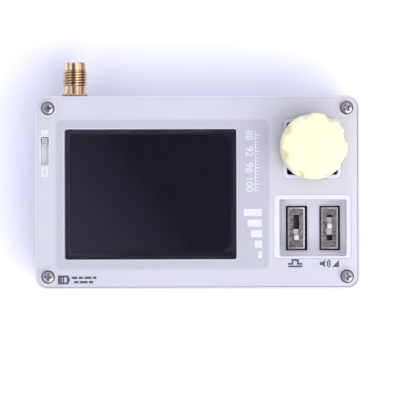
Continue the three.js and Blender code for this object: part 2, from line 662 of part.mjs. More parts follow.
function addPowerSwitch() {
  const { left, right, low, high, bottom, top } = SWITCH_BODY;
  const { x, y } = SWITCH_LEVER;
  const slot = SWITCH_STEM_SLOT;
  const well = box(x - slot.width / 2, x + slot.width / 2, slot.low, slot.high, slot.bottom, top + 1);
  add("power_switch_body", box(left, right, low, high, bottom, top).subtract(well), NICKEL);

  const stem = centredBox(x, y, SWITCH_STEM.width, SWITCH_STEM.length, SWITCH_STEM.bottom, SHIELD.top);
  const half = SHIELD.width / 2;
  const shield = box(x - half, x + half, y - SHIELD.down, y + SHIELD.up, SHIELD.bottom, SHIELD.top);
  let lever = centredBox(x, y, SWITCH_LEVER.width, SWITCH_LEVER.length, SHIELD.bottom, SWITCH_LEVER.top);
  for (const groove of [-1, 0, 1]) {
    const grooveY = y + groove * 0.55;
    lever = lever.subtract(centredBox(x, grooveY, 4, 0.2, SWITCH_LEVER.top - 0.25, SWITCH_LEVER.top + 1));
  }
  add("power_switch_lever", lever.add(shield).add(stem), WHITE_PLASTIC);
}

// ---- Antenna socket ---------------------------------------------------------------------------------

// A solid turned about the socket's axis, from a profile of [radius, y] points.
function turnedAlongY(profile, segments = 20) {
  return turned(0, 0, profile, segments).rotate([-90, 0, 0]).translate([JACK_X, 0, JACK_Z]);
}

function addAntennaJack() {
  const profile = [
    [0, JACK_FLANGE_FRONT - 0.5],
    [JACK_BARREL_RADIUS, JACK_FLANGE_FRONT - 0.5],
  ];
  for (let i = 0; i < JACK_THREADS; i += 1) {
    const start = JACK_THREAD_START + i * JACK_PITCH;
    profile.push([JACK_BARREL_RADIUS, start]);
    profile.push([JACK_THREAD_RADIUS, start + JACK_PITCH * 0.4]);
    profile.push([JACK_THREAD_RADIUS, start + JACK_PITCH * 0.55]);
  }
  profile.push([JACK_BARREL_RADIUS, JACK_THREAD_START + JACK_THREADS * JACK_PITCH]);
  profile.push([JACK_BARREL_RADIUS, JACK_TIP - 0.25]);
  profile.push([JACK_BARREL_RADIUS - 0.25, JACK_TIP]);
  profile.push([0, JACK_TIP]);
  const half = JACK_FLANGE / 2;
  let body = turnedAlongY(profile).add(
    box(JACK_X - half, JACK_X + half, JACK_FLANGE_BACK, JACK_FLANGE_FRONT, JACK_Z - half, JACK_Z + half),
  );
  for (const side of [-1, 1]) {
    const legX = JACK_X + side * (half - JACK_LEG / 2);
    for (const legZ of [TOPSIDE, UNDERSIDE - JACK_LEG]) {
      body = body.add(box(legX - JACK_LEG / 2, legX + JACK_LEG / 2, JACK_LEG_BACK, JACK_FLANGE_BACK + 0.5,
        legZ, legZ + JACK_LEG));
    }
  }
  body = body.subtract(rod(JACK_X, JACK_Z, JACK_BORE_RADIUS, JACK_FLANGE_BACK - 1, JACK_TIP + 1));
  add("antenna_jack_body", body, GOLD);

  const sleeve = rod(JACK_X, JACK_Z, JACK_BORE_RADIUS - 0.08, JACK_FLANGE_BACK, JACK_TIP - 0.3);
  const sleeveBore = rod(JACK_X, JACK_Z, JACK_CONTACT_RADIUS + 0.08, 20, 40, 16);
  add("antenna_jack_dielectric", sleeve.subtract(sleeveBore), PTFE);

  const pin = rod(JACK_X, JACK_Z, JACK_CONTACT_RADIUS, JACK_FLANGE_BACK - 0.2, JACK_TIP - 0.5, 16);
  const socket = rod(JACK_X, JACK_Z, JACK_CONTACT_HOLE, JACK_TIP - 4, JACK_TIP + 1, 16);
  add("antenna_jack_contact", pin.subtract(socket), GOLD);
}

// ---- Sockets, loudspeaker and battery ---------------------------------------------------------------

function addSockets() {
  const depth = USB.back - USB.front;
  const usbRect = { x: USB.x, y: 0, width: USB.width, height: USB.height, radius: USB.height / 2 - 0.01 };
  const shell = plate(usbRect, 0, depth).subtract(plate(usbRect, -1, depth - 1.2, -USB.sheet));
  const tongue = plate({ x: USB.x, y: 0, width: 6.6, height: 0.7, radius: 0.2 }, 0.8, depth - 0.6);
  const usb = shell.add(tongue).rotate([-90, 0, 0]).translate([0, USB.front, usbCentreZ]);
  add("usb_c_socket", usb, NICKEL);

  const bodyBottom = UNDERSIDE - PHONES.height;
  const half = PHONES.width / 2;
  const phones = box(PHONES.x - half, PHONES.x + half, PHONES.back, 23, bodyBottom, UNDERSIDE)
    .add(rod(PHONES.x, PHONES.z, PHONES_COLLAR_RADIUS, 22, PHONES_COLLAR_END))
    .subtract(rod(PHONES.x, PHONES.z, PHONES_BORE_RADIUS, PHONES.back + 1, PHONES_COLLAR_END + 1, 20));
  add("headphone_socket", phones, BLACK_PLASTIC);
}

function addSpeaker() {
  const { x, y, radius, bottom, top } = SPEAKER;
  const basket = turned(x, y, [
    [0, top - 1.8],
    [radius * 0.42, top - 1.8],
    [radius * 0.86, bottom + 0.9],
    [radius - 0.9, bottom + 0.9],
    [radius - 0.9, bottom],
    [radius, bottom],
    [radius, bottom + 1.6],
    [radius * 0.55, top - 1.2],
    [radius * 0.55, top],
    [0, top],
  ], 20);
  add("speaker_basket", basket, NICKEL);
  const cone = turned(x, y, [
    [0, bottom + 1.1],
    [radius * 0.4, bottom + 1.5],
    [radius * 0.82, bottom + 0.15],
    [radius - 1, bottom + 0.15],
    [radius - 1, bottom + 0.6],
    [radius * 0.85, bottom + 0.6],
    [radius * 0.42, top - 2],
    [0, top - 2],
  ], 20);
  add("speaker_cone", cone, PAPER);
}

// A thin insulated wire through a few points.
function wire(points, radius) {
  const section = new THREE.Shape();
  section.absarc(0, 0, radius, 0, 2 * Math.PI, false);
  const path = new THREE.CatmullRomCurve3(points.map(([x, y, z]) => new THREE.Vector3(x, y, z)));
  const options = { steps: 10, curveSegments: 4, bevelEnabled: false, extrudePath: path };
  return toSolid(new THREE.ExtrudeGeometry(section, options));
}

function addBattery() {
  add("battery_pad", plate(BATTERY, FLOOR_TOP + REST_GAP, BATTERY.bottom - REST_GAP, -2), FOAM);
  const cell = plate(BATTERY, BATTERY.bottom, BATTERY.top);
  const cap = centredBox(BATTERY.x, 13.6, 26, 2.4, BATTERY.bottom + 1, BATTERY.top - 1.4);
  add("battery", cell.add(cap), SILVER_FOIL);
  const leads = [
    { name: "battery_lead_positive", y: 7.2, finish: RED_WIRE },
    { name: "battery_lead_negative", y: 4.9, finish: BLACK_WIRE },
  ];
  for (const { name, y, finish } of leads) {
    const points = [
      [12.3, y + 3, 6.4],
      [13.2, y + 2.2, 6.2],
      [13.6, y + 0.6, 6.6],
      [14.6, y, 7],
      [16.1, y, 7],
    ];
    add(name, wire(points, 0.4), finish);
  }
}

// ---- Assembly ---------------------------------------------------------------------------------------

add("rear_cover", rearCover(), CASE_WHITE);
add("front_frame", frontFrame(), CASE_WHITE);
add("front_panel", frontPanel(), FROSTED);
CORNERS.forEach(([x, y], i) => {
  add("front_screw_" + (i + 1), frontScrew(x, y), STEEL);
  add("threaded_insert_" + (i + 1), threadedInsert(x, y), BRASS);
});
addBoards();
addDisplay();
addEncoder();
SLIDERS.forEach(addSlider);
addPowerSwitch();
addAntennaJack();
addSockets();
addSpeaker();
addBattery();

export default radio;
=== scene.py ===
import json
import math

import bmesh
import bpy
from mathutils import Matrix, Vector


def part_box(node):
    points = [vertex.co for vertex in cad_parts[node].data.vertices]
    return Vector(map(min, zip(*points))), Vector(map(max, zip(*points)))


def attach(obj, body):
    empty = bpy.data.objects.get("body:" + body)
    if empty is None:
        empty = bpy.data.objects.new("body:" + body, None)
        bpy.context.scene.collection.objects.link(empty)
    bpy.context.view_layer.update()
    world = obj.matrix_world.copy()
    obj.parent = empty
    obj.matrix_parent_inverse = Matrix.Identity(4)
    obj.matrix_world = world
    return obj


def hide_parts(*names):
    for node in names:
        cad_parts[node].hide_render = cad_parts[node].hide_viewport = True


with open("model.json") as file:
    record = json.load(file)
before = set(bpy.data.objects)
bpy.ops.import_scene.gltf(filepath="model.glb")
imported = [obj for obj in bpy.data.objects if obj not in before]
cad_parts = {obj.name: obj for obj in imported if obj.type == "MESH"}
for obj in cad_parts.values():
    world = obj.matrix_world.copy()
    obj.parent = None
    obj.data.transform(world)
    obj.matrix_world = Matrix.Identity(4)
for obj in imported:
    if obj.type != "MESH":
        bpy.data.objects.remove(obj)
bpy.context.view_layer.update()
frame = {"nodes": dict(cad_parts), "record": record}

# Sizes are in millimetres unless a name says otherwise; meshes are made in metres.
MM = 0.001


class Span:
    """The box of a CAD node at rest, in millimetres."""

    def __init__(self, node):
        low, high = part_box(node)
        self.x0, self.y0, self.z0 = (v / MM for v in low)
        self.x1, self.y1, self.z1 = (v / MM for v in high)
        self.x, self.y = (self.x0 + self.x1) / 2, (self.y0 + self.y1) / 2
        self.z = (self.z0 + self.z1) / 2
        self.width, self.height, self.depth = self.x1 - self.x0, self.y1 - self.y0, self.z1 - self.z0

    def rect(self, radius):
        """Its outline from above, with rounded corners."""
        return (self.x, self.y, self.width, self.height, radius)


COVER = Span("rear_cover")
FRAME = Span("front_frame")
PANEL = Span("front_panel")
LENS = Span("display_window")
GLASS = Span("display_glass")
KNOB = Span("tuning_knob")
SHAFT = Span("encoder_shaft")
BUSHING = Span("encoder_bushing")
ENCODER = Span("encoder_body")
JACK = Span("antenna_jack_body")
PIN = Span("antenna_jack_contact")
PTFE = Span("antenna_jack_dielectric")
USB = Span("usb_c_socket")
PHONES = Span("headphone_socket")
SPEAKER = Span("speaker_basket")
CONE = Span("speaker_cone")
SWITCH = Span("power_switch_body")
SWITCH_LEVER = Span("power_switch_lever")

# Outlines inside one CAD node, as (centre x, centre y, width, height, corner radius).
CASE_RECT = (0, 0, COVER.width, COVER.height, 3.2)
RIM_RECT = (0, 0, COVER.width - 1.0, COVER.height - 1.0, 2.7)
PANEL_RECT = (-0.04, 0.04, RIM_RECT[2] - 0.1, RIM_RECT[3] - 0.1, 2.64)
INNER = (0, 0, 80.4, 46.4, 1.2)
DISPLAY_OPENING = (LENS.x, LENS.y + 0.06, LENS.width + 0.2, LENS.height + 0.32, 0.6)
KNOB_OPENING = (30, 11.4, 15.4, 15.9, 1.6)
KNOB_WINDOW = (30, 11.4, 13.2, 13.6, 0.6)
SLIDER_OPENING = (30, -9, 20.2, 16.7, 0.8)
SLIDER_WINDOW = (30.15, -9.3, 17.5, 14.9, 0.6)
SWITCH_OPENING = (-39.9, 10.9, 2.1, 7.4, 0.4)
DISPLAY_POCKET = (-9, -0.5, 55.4, 39, 1.5)
POCKET_TINT = (-9.15, -0.5, 55.7, 39, 1.5)
TRAY_BOTTOM = 12.8
TRAY_TOP = 14.0
COLLAR_TOP = 19.4
CORNERS = [(-39, 22), (39, 22), (39, -22), (-39, -22)]
POTS = ("squelch", "volume")
# Gaps left and right of each slide control's can, in the tray's floor.
CAN_GAP = {"squelch": (-0.35, 0.55), "volume": (-0.3, 0.4)}
# Heights, radii and depths of single features.
SEAM = FRAME.z0
CASE_GAP = 0.05
SHANK_HOLE = 1.2
POST_RADIUS = 2.4
# How far each screw's cross is turned, in degrees.
SCREW_TURNS = [4, 30, 2, -3]
PHONES_AXIS_Z = 6.4
JACK_FLANGE_Y = 26.15
CARRIAGE_TOP = 13.6
LEVER_FOOT = 13.2
THREAD_PITCH = 0.7056
# The knob's grip: notches round it, the first at an angle in degrees, above a round skirt.
KNOB_NOTCHES = 8
KNOB_NOTCH_RADIUS = 1.5
KNOB_NOTCH_DEPTH = 1.05
KNOB_NOTCH_START = 15.5
KNOB_SKIRT = 1.7
KNOB_EDGE = 1.45
# The printed marks: how far they lie above the panel, how thick they are, and the legends' middle line.
PRINT_LIFT = 0.006
PRINT_DEPTH = 0.03
LEGEND_Y = -18.65


# ---- Meshes ----


def new_object(name, data):
    obj = bpy.data.objects.new(name, data)
    bpy.context.scene.collection.objects.link(obj)
    return obj


def mesh_object(name, verts, faces):
    mesh = bpy.data.meshes.new(name)
    mesh.from_pydata([Vector(v) * MM for v in verts], [], faces)
    mesh.validate()
    return new_object(name, mesh)


def loft(name, rings):
    """A closed skin through rings with equal point counts, capped at both ends."""
    count = len(rings[0])
    verts = [point for ring in rings for point in ring]
    faces = []
    for k in range(len(rings) - 1):
        low, high = k * count, (k + 1) * count
        for i in range(count):
            j = (i + 1) % count
            faces.append((low + i, low + j, high + j, high + i))
    last = (len(rings) - 1) * count
    faces.append(tuple(reversed(range(count))))
    faces.append(tuple(range(last, last + count)))
    return mesh_object(name, verts, faces)


def grow(rect, amount):
    x, y, width, height, radius = rect
    return (x, y, width + 2 * amount, height + 2 * amount, max(radius + amount, 0.05))


def rect_ring(rect, z, arc=7):
    """A rounded rectangle of points at height z, anticlockwise from above."""
    x, y, width, height, radius = rect
    radius = min(radius, width / 2 - 0.001, height / 2 - 0.001)
    corners = [(1, -1, -90), (1, 1, 0), (-1, 1, 90), (-1, -1, 180)]
    ring = []
    for side_x, side_y, start in corners:
        cx = x + side_x * (width / 2 - radius)
        cy = y + side_y * (height / 2 - radius)
        for k in range(arc + 1):
            angle = math.radians(start + 90 * k / arc)
            ring.append((cx + radius * math.cos(angle), cy + radius * math.sin(angle), z))
    return ring


def fillet_steps(z_edge, size, up, steps=5):
    """Pairs of inset and height round an edge, from the side wall to the flat face."""
    pairs = []
    for k in range(steps + 1):
        angle = math.pi / 2 * k / steps
        inset = size * (1 - math.cos(angle))
        rise = size * (1 - math.sin(angle))
        pairs.append((inset, z_edge - rise if up else z_edge + rise))
    return pairs


def plate(name, rect, z0, z1, low=0.0, high=0.0, arc=7):
    """A rounded plate with filleted lower and upper edges."""
    profile = []
    if low:
        profile += reversed(fillet_steps(z0, low, up=False))
    else:
        profile.append((0, z0))
    if high:
        profile += fillet_steps(z1, high, up=True)
    else:
        profile.append((0, z1))
    return loft(name, [rect_ring(grow(rect, -inset), z, arc) for inset, z in profile])


def box(name, x0, x1, y0, y1, z0, z1):
    ring = [(x0, y0), (x1, y0), (x1, y1), (x0, y1)]
    return loft(name, [[(x, y, z) for x, y in ring] for z in (z0, z1)])


def circle(x, y, z, radius, count):
    step = 2 * math.pi / count
    return [(x + radius * math.cos(i * step), y + radius * math.sin(i * step), z) for i in range(count)]


def circles(profile, count=64, x=0, y=0):
    return [circle(x, y, z, radius, count) for radius, z in profile]


def turned(name, x, y, profile, count=48):
    """A solid turned about an upright axis, from (radius, z) pairs that run upwards."""
    return loft(name, circles(profile, count, x, y))


def along_y(obj, x, z, mirrored=False):
    """Lays an upright solid made round the origin along +Y, or along -Y, through x and z."""
    obj.data.transform(Matrix.Rotation(math.radians(90 if mirrored else -90), 4, "X"))
    obj.data.transform(Matrix.Translation(Vector((x, 0, z)) * MM))
    return obj


def bake_modifiers(obj):
    depsgraph = bpy.context.evaluated_depsgraph_get()
    mesh = bpy.data.meshes.new_from_object(obj.evaluated_get(depsgraph))
    old = obj.data
    obj.modifiers.clear()
    obj.data = mesh
    mesh.name = obj.name
    bpy.data.meshes.remove(old)
    return obj


def combine(obj, operation, tools):
    for tool in tools:
        modifier = obj.modifiers.new(operation, "BOOLEAN")
        modifier.operation = operation
        modifier.solver = "EXACT"
        modifier.object = tool
        bake_modifiers(obj)
        bpy.data.objects.remove(tool)
    return obj


def cut(obj, *tools):
    return combine(obj, "DIFFERENCE", tools)


def join(obj, *tools):
    return combine(obj, "UNION", tools)


def soften(obj, width=0.15, segments=2, angle=38):
    """Rounds the sharp edges and shades the rest smooth."""
    if width:
        bevel = obj.modifiers.new("edges", "BEVEL")
        bevel.width = width * MM
        bevel.segments = segments
        bevel.limit_method = "ANGLE"
        bevel.angle_limit = math.radians(angle)
        bevel.use_clamp_overlap = True
        bevel.harden_normals = False
    bake_modifiers(obj)
    obj.data.polygons.foreach_set("use_smooth", [True] * len(obj.data.polygons))
    obj.data.set_sharp_from_angle(angle=math.radians(angle))
    weights = obj.modifiers.new("normals", "WEIGHTED_NORMAL")
    weights.keep_sharp = True
    return bake_modifiers(obj)


def merged(name, objects):
    """Several meshes as one object."""
    shape = bmesh.new()
    for obj in objects:
        shape.from_mesh(obj.data)
        bpy.data.objects.remove(obj)
    mesh = bpy.data.meshes.new(name)
    shape.to_mesh(mesh)
    shape.free()
    return new_object(name, mesh)


def can_rect(name):
    """Outline of a potentiometer's can: its folded rim reaches a little past the CAD can's lower end."""
    can = Span(name + "_pot_can")
    return (can.x + 0.03, can.y - 0.15, can.width + 0.06, can.height + 0.3, 0.4)


def can_opening(name):
    """Outline of the opening in the tray's floor round a can."""
    x, y, width, height, _ = can_rect(name)
    left, right = CAN_GAP[name]
    return (x + (left + right) / 2, y, width + right - left, height + 0.5, 0.3)


def place(obj, body, slot, *nodes, material=None):
    """Puts a finished piece under its body, gives it its slot's material or the one named, and hides the
    CAD nodes that it stands for.
    """
    obj.data.materials.clear()
    obj.data.materials.append(material or MATERIALS[slot])
    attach(obj, body)
    if nodes:
        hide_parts(*nodes)
    return obj


# ---- Materials ----


class Nodes:
    """Helpers for a shader node tree."""

    def __init__(self, tree):
        self.tree = tree

    def node(self, kind, **settings):
        node = self.tree.nodes.new(kind)
        for key, value in settings.items():
            setattr(node, key, value)
        return node

    def link(self, source, target):
        self.tree.links.new(source, target)

    def feed(self, socket, value):
        """Puts a number, a colour or another node's output into a socket."""
        if isinstance(value, (int, float)):
            socket.default_value = value
        elif isinstance(value, tuple):
            socket.default_value = (*value, 1)
        else:
            self.link(value, socket)

    def ramp(self, value, low, high, out_low=0.0, out_high=1.0):
        """A value, between low and high, spread over the outputs and held at their ends."""
        node = self.node("ShaderNodeMapRange", clamp=True)
        limits = {"From Min": low, "From Max": high, "To Min": out_low, "To Max": out_high}
        for key, limit in limits.items():
            node.inputs[key].default_value = limit
        self.link(value, node.inputs["Value"])
        return node.outputs["Result"]

    def math(self, operation, a, b=None):
        node = self.node("ShaderNodeMath", operation=operation)
        for socket, value in zip(node.inputs, (a, b)):
            if value is not None:
                self.feed(socket, value)
        return node.outputs[0]

    def plus(self, a, b):
        return self.math("ADD", a, b)

    def minus(self, a, b):
        return self.math("SUBTRACT", a, b)

    def times(self, a, b):
        return self.math("MULTIPLY", a, b)

    def larger(self, a, b):
        return self.math("MAXIMUM", a, b)

    def smaller(self, a, b):
        return self.math("MINIMUM", a, b)

    def away(self, value, middle):
        """How far a value is from a middle one, either way."""
        return self.math("ABSOLUTE", self.minus(value, middle))

    def length(self, a, b):
        return self.math("SQRT", self.plus(self.times(a, a), self.times(b, b)))


class Surface(Nodes):
    """A Principled material with helpers for procedural detail in object space, in metres."""

    def __init__(self, name):
        self.material = bpy.data.materials.new(name)
        self.material.use_nodes = True
        super().__init__(self.material.node_tree)
        self.shader = self.tree.nodes["Principled BSDF"]
        self.place = self.node("ShaderNodeTexCoord").outputs["Object"]

    def noise(self, scale, detail=3, stretch=(1, 1, 1), roughness=0.55):
        mapping = self.node("ShaderNodeMapping")
        mapping.inputs["Scale"].default_value = stretch
        self.link(self.place, mapping.inputs["Vector"])
        noise = self.node("ShaderNodeTexNoise")
        noise.inputs["Scale"].default_value = scale
        noise.inputs["Detail"].default_value = detail
        noise.inputs["Roughness"].default_value = roughness
        self.link(mapping.outputs["Vector"], noise.inputs["Vector"])
        return noise.outputs["Fac"]

    def mix(self, factor, first, second):
        """From the first colour at 0 to the second at 1."""
        node = self.node("ShaderNodeMix", data_type="RGBA")
        for index, value in ((0, factor), (6, first), (7, second)):
            self.feed(node.inputs[index], value)
        return node.outputs[2]

    def color(self, value):
        self.link(value, self.shader.inputs["Base Color"])

    def glow(self, value):
        self.link(value, self.shader.inputs["Emission Color"])
        self.set(Emission_Strength=1.0)

    def roughness(self, noise, limits, low=0.3, high=0.7):
        """Uneven gloss: roughness runs between its limits as the noise runs from low to high."""
        self.link(self.ramp(noise, low, high, *limits), self.shader.inputs["Roughness"])

    def bump(self, height, strength, distance):
        node = self.node("ShaderNodeBump")
        node.inputs["Strength"].default_value = strength
        node.inputs["Distance"].default_value = distance * MM
        self.link(height, node.inputs["Height"])
        self.link(node.outputs["Normal"], self.shader.inputs["Normal"])

    def set(self, **values):
        for key, value in values.items():
            self.shader.inputs[key.replace("_", " ")].default_value = value

    def axes(self):
        """The three object coordinates, in millimetres."""
        scaled = self.node("ShaderNodeVectorMath", operation="SCALE")
        scaled.inputs["Scale"].default_value = 1 / MM
        self.link(self.place, scaled.inputs[0])
        split = self.node("ShaderNodeSeparateXYZ")
        self.link(scaled.outputs[0], split.inputs[0])
        return split.outputs

    def corner_distance(self):
        """Distance from the axis of the nearest corner screw, in millimetres."""
        axis_x, axis_y, _ = self.axes()
        x, y = CORNERS[1]
        return self.length(self.minus(self.math("ABSOLUTE", axis_x), x),
                           self.minus(self.math("ABSOLUTE", axis_y), y))

    def rect_distance(self, rect):
        """Distance outwards from a rounded rectangle's edge, in millimetres; negative inside."""
        x, y, width, height, radius = rect
        axis_x, axis_y, _ = self.axes()
        dx = self.minus(self.away(axis_x, x), width / 2 - radius)
        dy = self.minus(self.away(axis_y, y), height / 2 - radius)
        outside = self.length(self.larger(dx, 0), self.larger(dy, 0))
        inside = self.smaller(self.larger(dx, dy), 0)
        return self.minus(self.plus(outside, inside), radius)


BLACK = (0.0, 0.0, 0.0)


def plain(name, color, shade, roughness=(0.4, 0.55), grain=900, bump=0.12, metallic=0.0, mottle=120,
          depth=0.02):
    """A finish with broad mottling between two colours, a fine grain and uneven gloss."""
    s = Surface(name)
    broad, fine = s.noise(mottle, 4), s.noise(grain, 2)
    s.color(s.mix(s.ramp(broad, 0.35, 0.65), color, shade))
    s.roughness(s.plus(s.times(broad, 0.6), s.times(fine, 0.4)), roughness)
    s.bump(fine, bump, depth)
    s.set(Metallic=metallic)
    return s.material


def two_tone_plastic(name, color, shade, tint, tint_ramp, roughness):
    """Smooth plastic with a tint that comes or goes with height, as tint_ramp tells ramp()."""
    s = Surface(name)
    broad = s.noise(500, 4)
    body = s.mix(s.ramp(broad, 0.35, 0.65), color, shade)
    s.color(s.mix(s.ramp(s.axes()[2], *tint_ramp), body, tint))
    s.roughness(broad, roughness)
    s.bump(s.noise(1500, 2), 0.12, 0.02)
    return s.material


# The panel's colours: the edge colour is painted shade; the glint, seat glint and slot wall colours are
# painted light.
PANEL_COLOR = (0.550, 0.548, 0.570)
PANEL_SHADE = (0.522, 0.520, 0.542)
PANEL_EDGE_PAINTED_SHADE = (0.40, 0.39, 0.42)
PANEL_GLINT = (0.64, 0.64, 0.67)
POCKET_COLOR = (0.445, 0.438, 0.476)
SCREW_SEAT_PAINTED_GLINT = (0.80, 0.78, 0.82)
SLOT_WALL_PAINTED_LIGHT = (0.95, 0.94, 0.98)
SLOT_WALL_PAINTED_GLOW = (0.11, 0.11, 0.12)


def frosted_panel():
    """Frosted acrylic, greyer over the display pocket and paler over the posts, with painted highlights
    round the screw seats, along the cut edges of the display and switch openings and in a band along the
    right margin, painted shade along the right and bottom edges, and painted light with a painted glow
    on the switch slot's walls.
    """
    s = Surface("frosted_acrylic")
    pocket, edge = s.rect_distance(POCKET_TINT), s.rect_distance(PANEL_RECT)
    soft, speck = s.noise(60, 3), s.noise(2600, 1)
    axis_x, axis_y, axis_z = s.axes()
    post = s.corner_distance()
    body = s.mix(s.ramp(soft, 0.35, 0.65), PANEL_COLOR, PANEL_SHADE)
    body = s.mix(s.ramp(post, 2.5, 2.8, 0.35, 0), body, PANEL_GLINT)
    body = s.mix(s.ramp(s.away(post, 2.75), 0.05, 0.3, 0.2, 0), body, POCKET_COLOR)
    # Painted highlight: a pale ring round each screw's seat.
    body = s.mix(s.ramp(s.away(post, 2.0), 0.08, 0.25, 0.7, 0), body, SCREW_SEAT_PAINTED_GLINT)
    body = s.mix(s.ramp(pocket, -0.3, 0.3, 1, 0), body, POCKET_COLOR)
    # Painted highlights along the cut edges of the display and switch openings.
    glints = [s.ramp(s.rect_distance(rect), 0.12, 0.42, 0.6, 0)
              for rect in (DISPLAY_OPENING, SWITCH_OPENING)]
    body = s.mix(s.larger(*glints), body, PANEL_GLINT)
    # Painted light: a pale band inside the panel's right margin.
    painted_right_edge_light = s.times(s.ramp(edge, -3.0, -0.5, 0, 0.5), s.ramp(axis_x, 35, 40))
    body = s.mix(painted_right_edge_light, body, PANEL_GLINT)
    # Painted shade: a darker line along the panel's right and bottom edges.
    painted_shade_sides = s.larger(s.ramp(axis_x, 40, 41), s.ramp(axis_y, -24, -23.5, 1, 0))
    body = s.mix(s.times(s.ramp(edge, -0.5, -0.1, 0, 0.4), painted_shade_sides), body, PANEL_EDGE_PAINTED_SHADE)
    # Painted light on the switch slot's walls: a near-white colour and a faint painted glow that cancel
    # their shade.
    painted_slot_wall_light = s.times(s.ramp(s.rect_distance(SWITCH_OPENING), 0.05, 0.15, 1, 0),
                        s.ramp(axis_z, PANEL.z1 - 0.25, PANEL.z1 - 0.1, 1, 0))
    body = s.mix(painted_slot_wall_light, body, SLOT_WALL_PAINTED_LIGHT)
    s.glow(s.mix(painted_slot_wall_light, BLACK, SLOT_WALL_PAINTED_GLOW))
    s.color(s.mix(s.ramp(speck, 0.55, 0.8, 0, 0.35), body, PANEL_SHADE))
    s.roughness(soft, (0.34, 0.46))
    s.bump(speck, 0.10, 0.012)
    s.set(IOR=1.49, Subsurface_Weight=0.15)
    s.set(Subsurface_Radius=(0.001, 0.001, 0.0012), Subsurface_Scale=0.5)
    return s.material


DISPLAY_ACTIVE = (GLASS.x - 0.15, GLASS.y + 0.3, 41.9, 30.7, 3.4)
DISPLAY_ACTIVE_LEFT = (GLASS.x - 8, GLASS.y + 0.3, 26, 30.7, 0.8)


def display_glass():
    """Display under its lens, its colour emitted as a painted glow: a border and a darker active area,
    both with a painted sheen that grows towards the lower left.
    """
    s = Surface("display_glass")
    distance = s.smaller(s.rect_distance(DISPLAY_ACTIVE), s.rect_distance(DISPLAY_ACTIVE_LEFT))
    haze = s.noise(28, 2)
    axis_x, axis_y, _ = s.axes()
    corner = s.plus(s.times(axis_x, -1), s.times(axis_y, -0.7))
    # Painted sheen on the active area, growing towards the lower left.
    painted_sheen = s.times(s.ramp(corner, 10, 42), s.ramp(haze, 0.25, 0.75, 0.7, 1.0))
    film = s.mix(painted_sheen, (0.0045, 0.0042, 0.0095), (0.040, 0.036, 0.057))
    # Painted sheen on the border, growing towards the lower left.
    border = s.mix(s.ramp(corner, -20, 12), (0.011, 0.010, 0.016), (0.030, 0.028, 0.037))
    border = s.mix(s.ramp(corner, 18, 34), border, (0.050, 0.046, 0.060))
    lower = s.times(s.ramp(axis_y, GLASS.y0 + 1.1, GLASS.y0 + 1.5, 1, 0),
                    s.ramp(axis_x, -33, -18, 0.15, 0.8))
    border = s.mix(lower, border, (0.008, 0.008, 0.013))
    face = s.mix(s.ramp(distance, -0.05, 0.12), film, border)
    seam = s.ramp(s.math("ABSOLUTE", distance), 0.05, 0.4, 0.45, 0)
    # The face is emitted, not lit: a painted glow that carries the painted sheen.
    s.glow(s.mix(seam, face, (0.003, 0.003, 0.005)))
    s.color(s.mix(s.ramp(haze, 0.3, 0.7), (0.004, 0.004, 0.006), (0.003, 0.003, 0.005)))
    s.roughness(haze, (0.10, 0.18))
    s.set(Specular_IOR_Level=0.3)
    return s.material


def clear_lens():
    s = Surface("lens_acrylic")
    smear = s.noise(45, 3, (1, 2.4, 1))
    s.color(s.mix(s.ramp(smear, 0.4, 0.7), (0.95, 0.95, 0.98), (0.92, 0.92, 0.96)))
    s.roughness(smear, (0.0, 0.03), 0.4, 0.75)
    s.set(Transmission_Weight=1.0, IOR=1.45)
    return s.material


def knob_plastic():
    """Cream moulded plastic with painted light in the notches, a paler colour and a faint painted glow,
    and fine turning marks on the top.
    """
    s = Surface("knob_cream")
    axis_x, axis_y, axis_z = s.axes()
    radius = s.length(s.minus(axis_x, KNOB.x), s.minus(axis_y, KNOB.y))
    broad = s.noise(160, 4)
    body = s.mix(s.ramp(broad, 0.35, 0.65), (0.87, 0.82, 0.505), (0.85, 0.80, 0.48))
    # Painted light in the notches: a paler colour and a faint painted glow that lift their shade.
    notch = s.times(s.ramp(radius, 7.0, 7.2), s.ramp(radius, 7.8, 8.35, 1, 0))
    notch = s.times(notch, s.ramp(axis_z, KNOB.z1 - 1.9, KNOB.z1 - 0.7, 1, 0))
    s.color(s.mix(s.times(notch, 0.8), body, (1.0, 0.90, 0.54)))
    s.glow(s.mix(notch, BLACK, (0.08, 0.068, 0.034)))
    s.roughness(broad, (0.42, 0.55))
    rings = s.math("SINE", s.times(radius, 26))
    s.bump(s.plus(s.times(rings, 0.15), s.noise(1400, 2)), 0.08, 0.015)
    s.set(Subsurface_Weight=0.5, Subsurface_Radius=(0.004, 0.0034, 0.002), Subsurface_Scale=0.8)
    return s.material


def worn_metal(name, color, shade, dark, roughness, mottle=260, bump=0.15, stretch=(1, 1, 1),
               contrast=0.18, crevice=0.65):
    """Bare or plated metal with blotches and fine scratches, darker in its crevices."""
    s = Surface(name)
    blotch = s.noise(mottle, 6, stretch, 0.7)
    scratch = s.noise(1500, 3, (1, 9, 1))
    body = s.mix(s.ramp(blotch, 0.5 - contrast, 0.5 + contrast), color, shade)
    pointed = s.node("ShaderNodeNewGeometry").outputs["Pointiness"]
    s.color(s.mix(s.ramp(pointed, 0.44, 0.50, crevice, 0.0), body, dark))
    s.roughness(s.plus(s.times(blotch, 0.5), s.times(scratch, 0.5)), roughness)
    s.bump(scratch, bump, 0.008)
    s.set(Metallic=1.0)
    return s.material


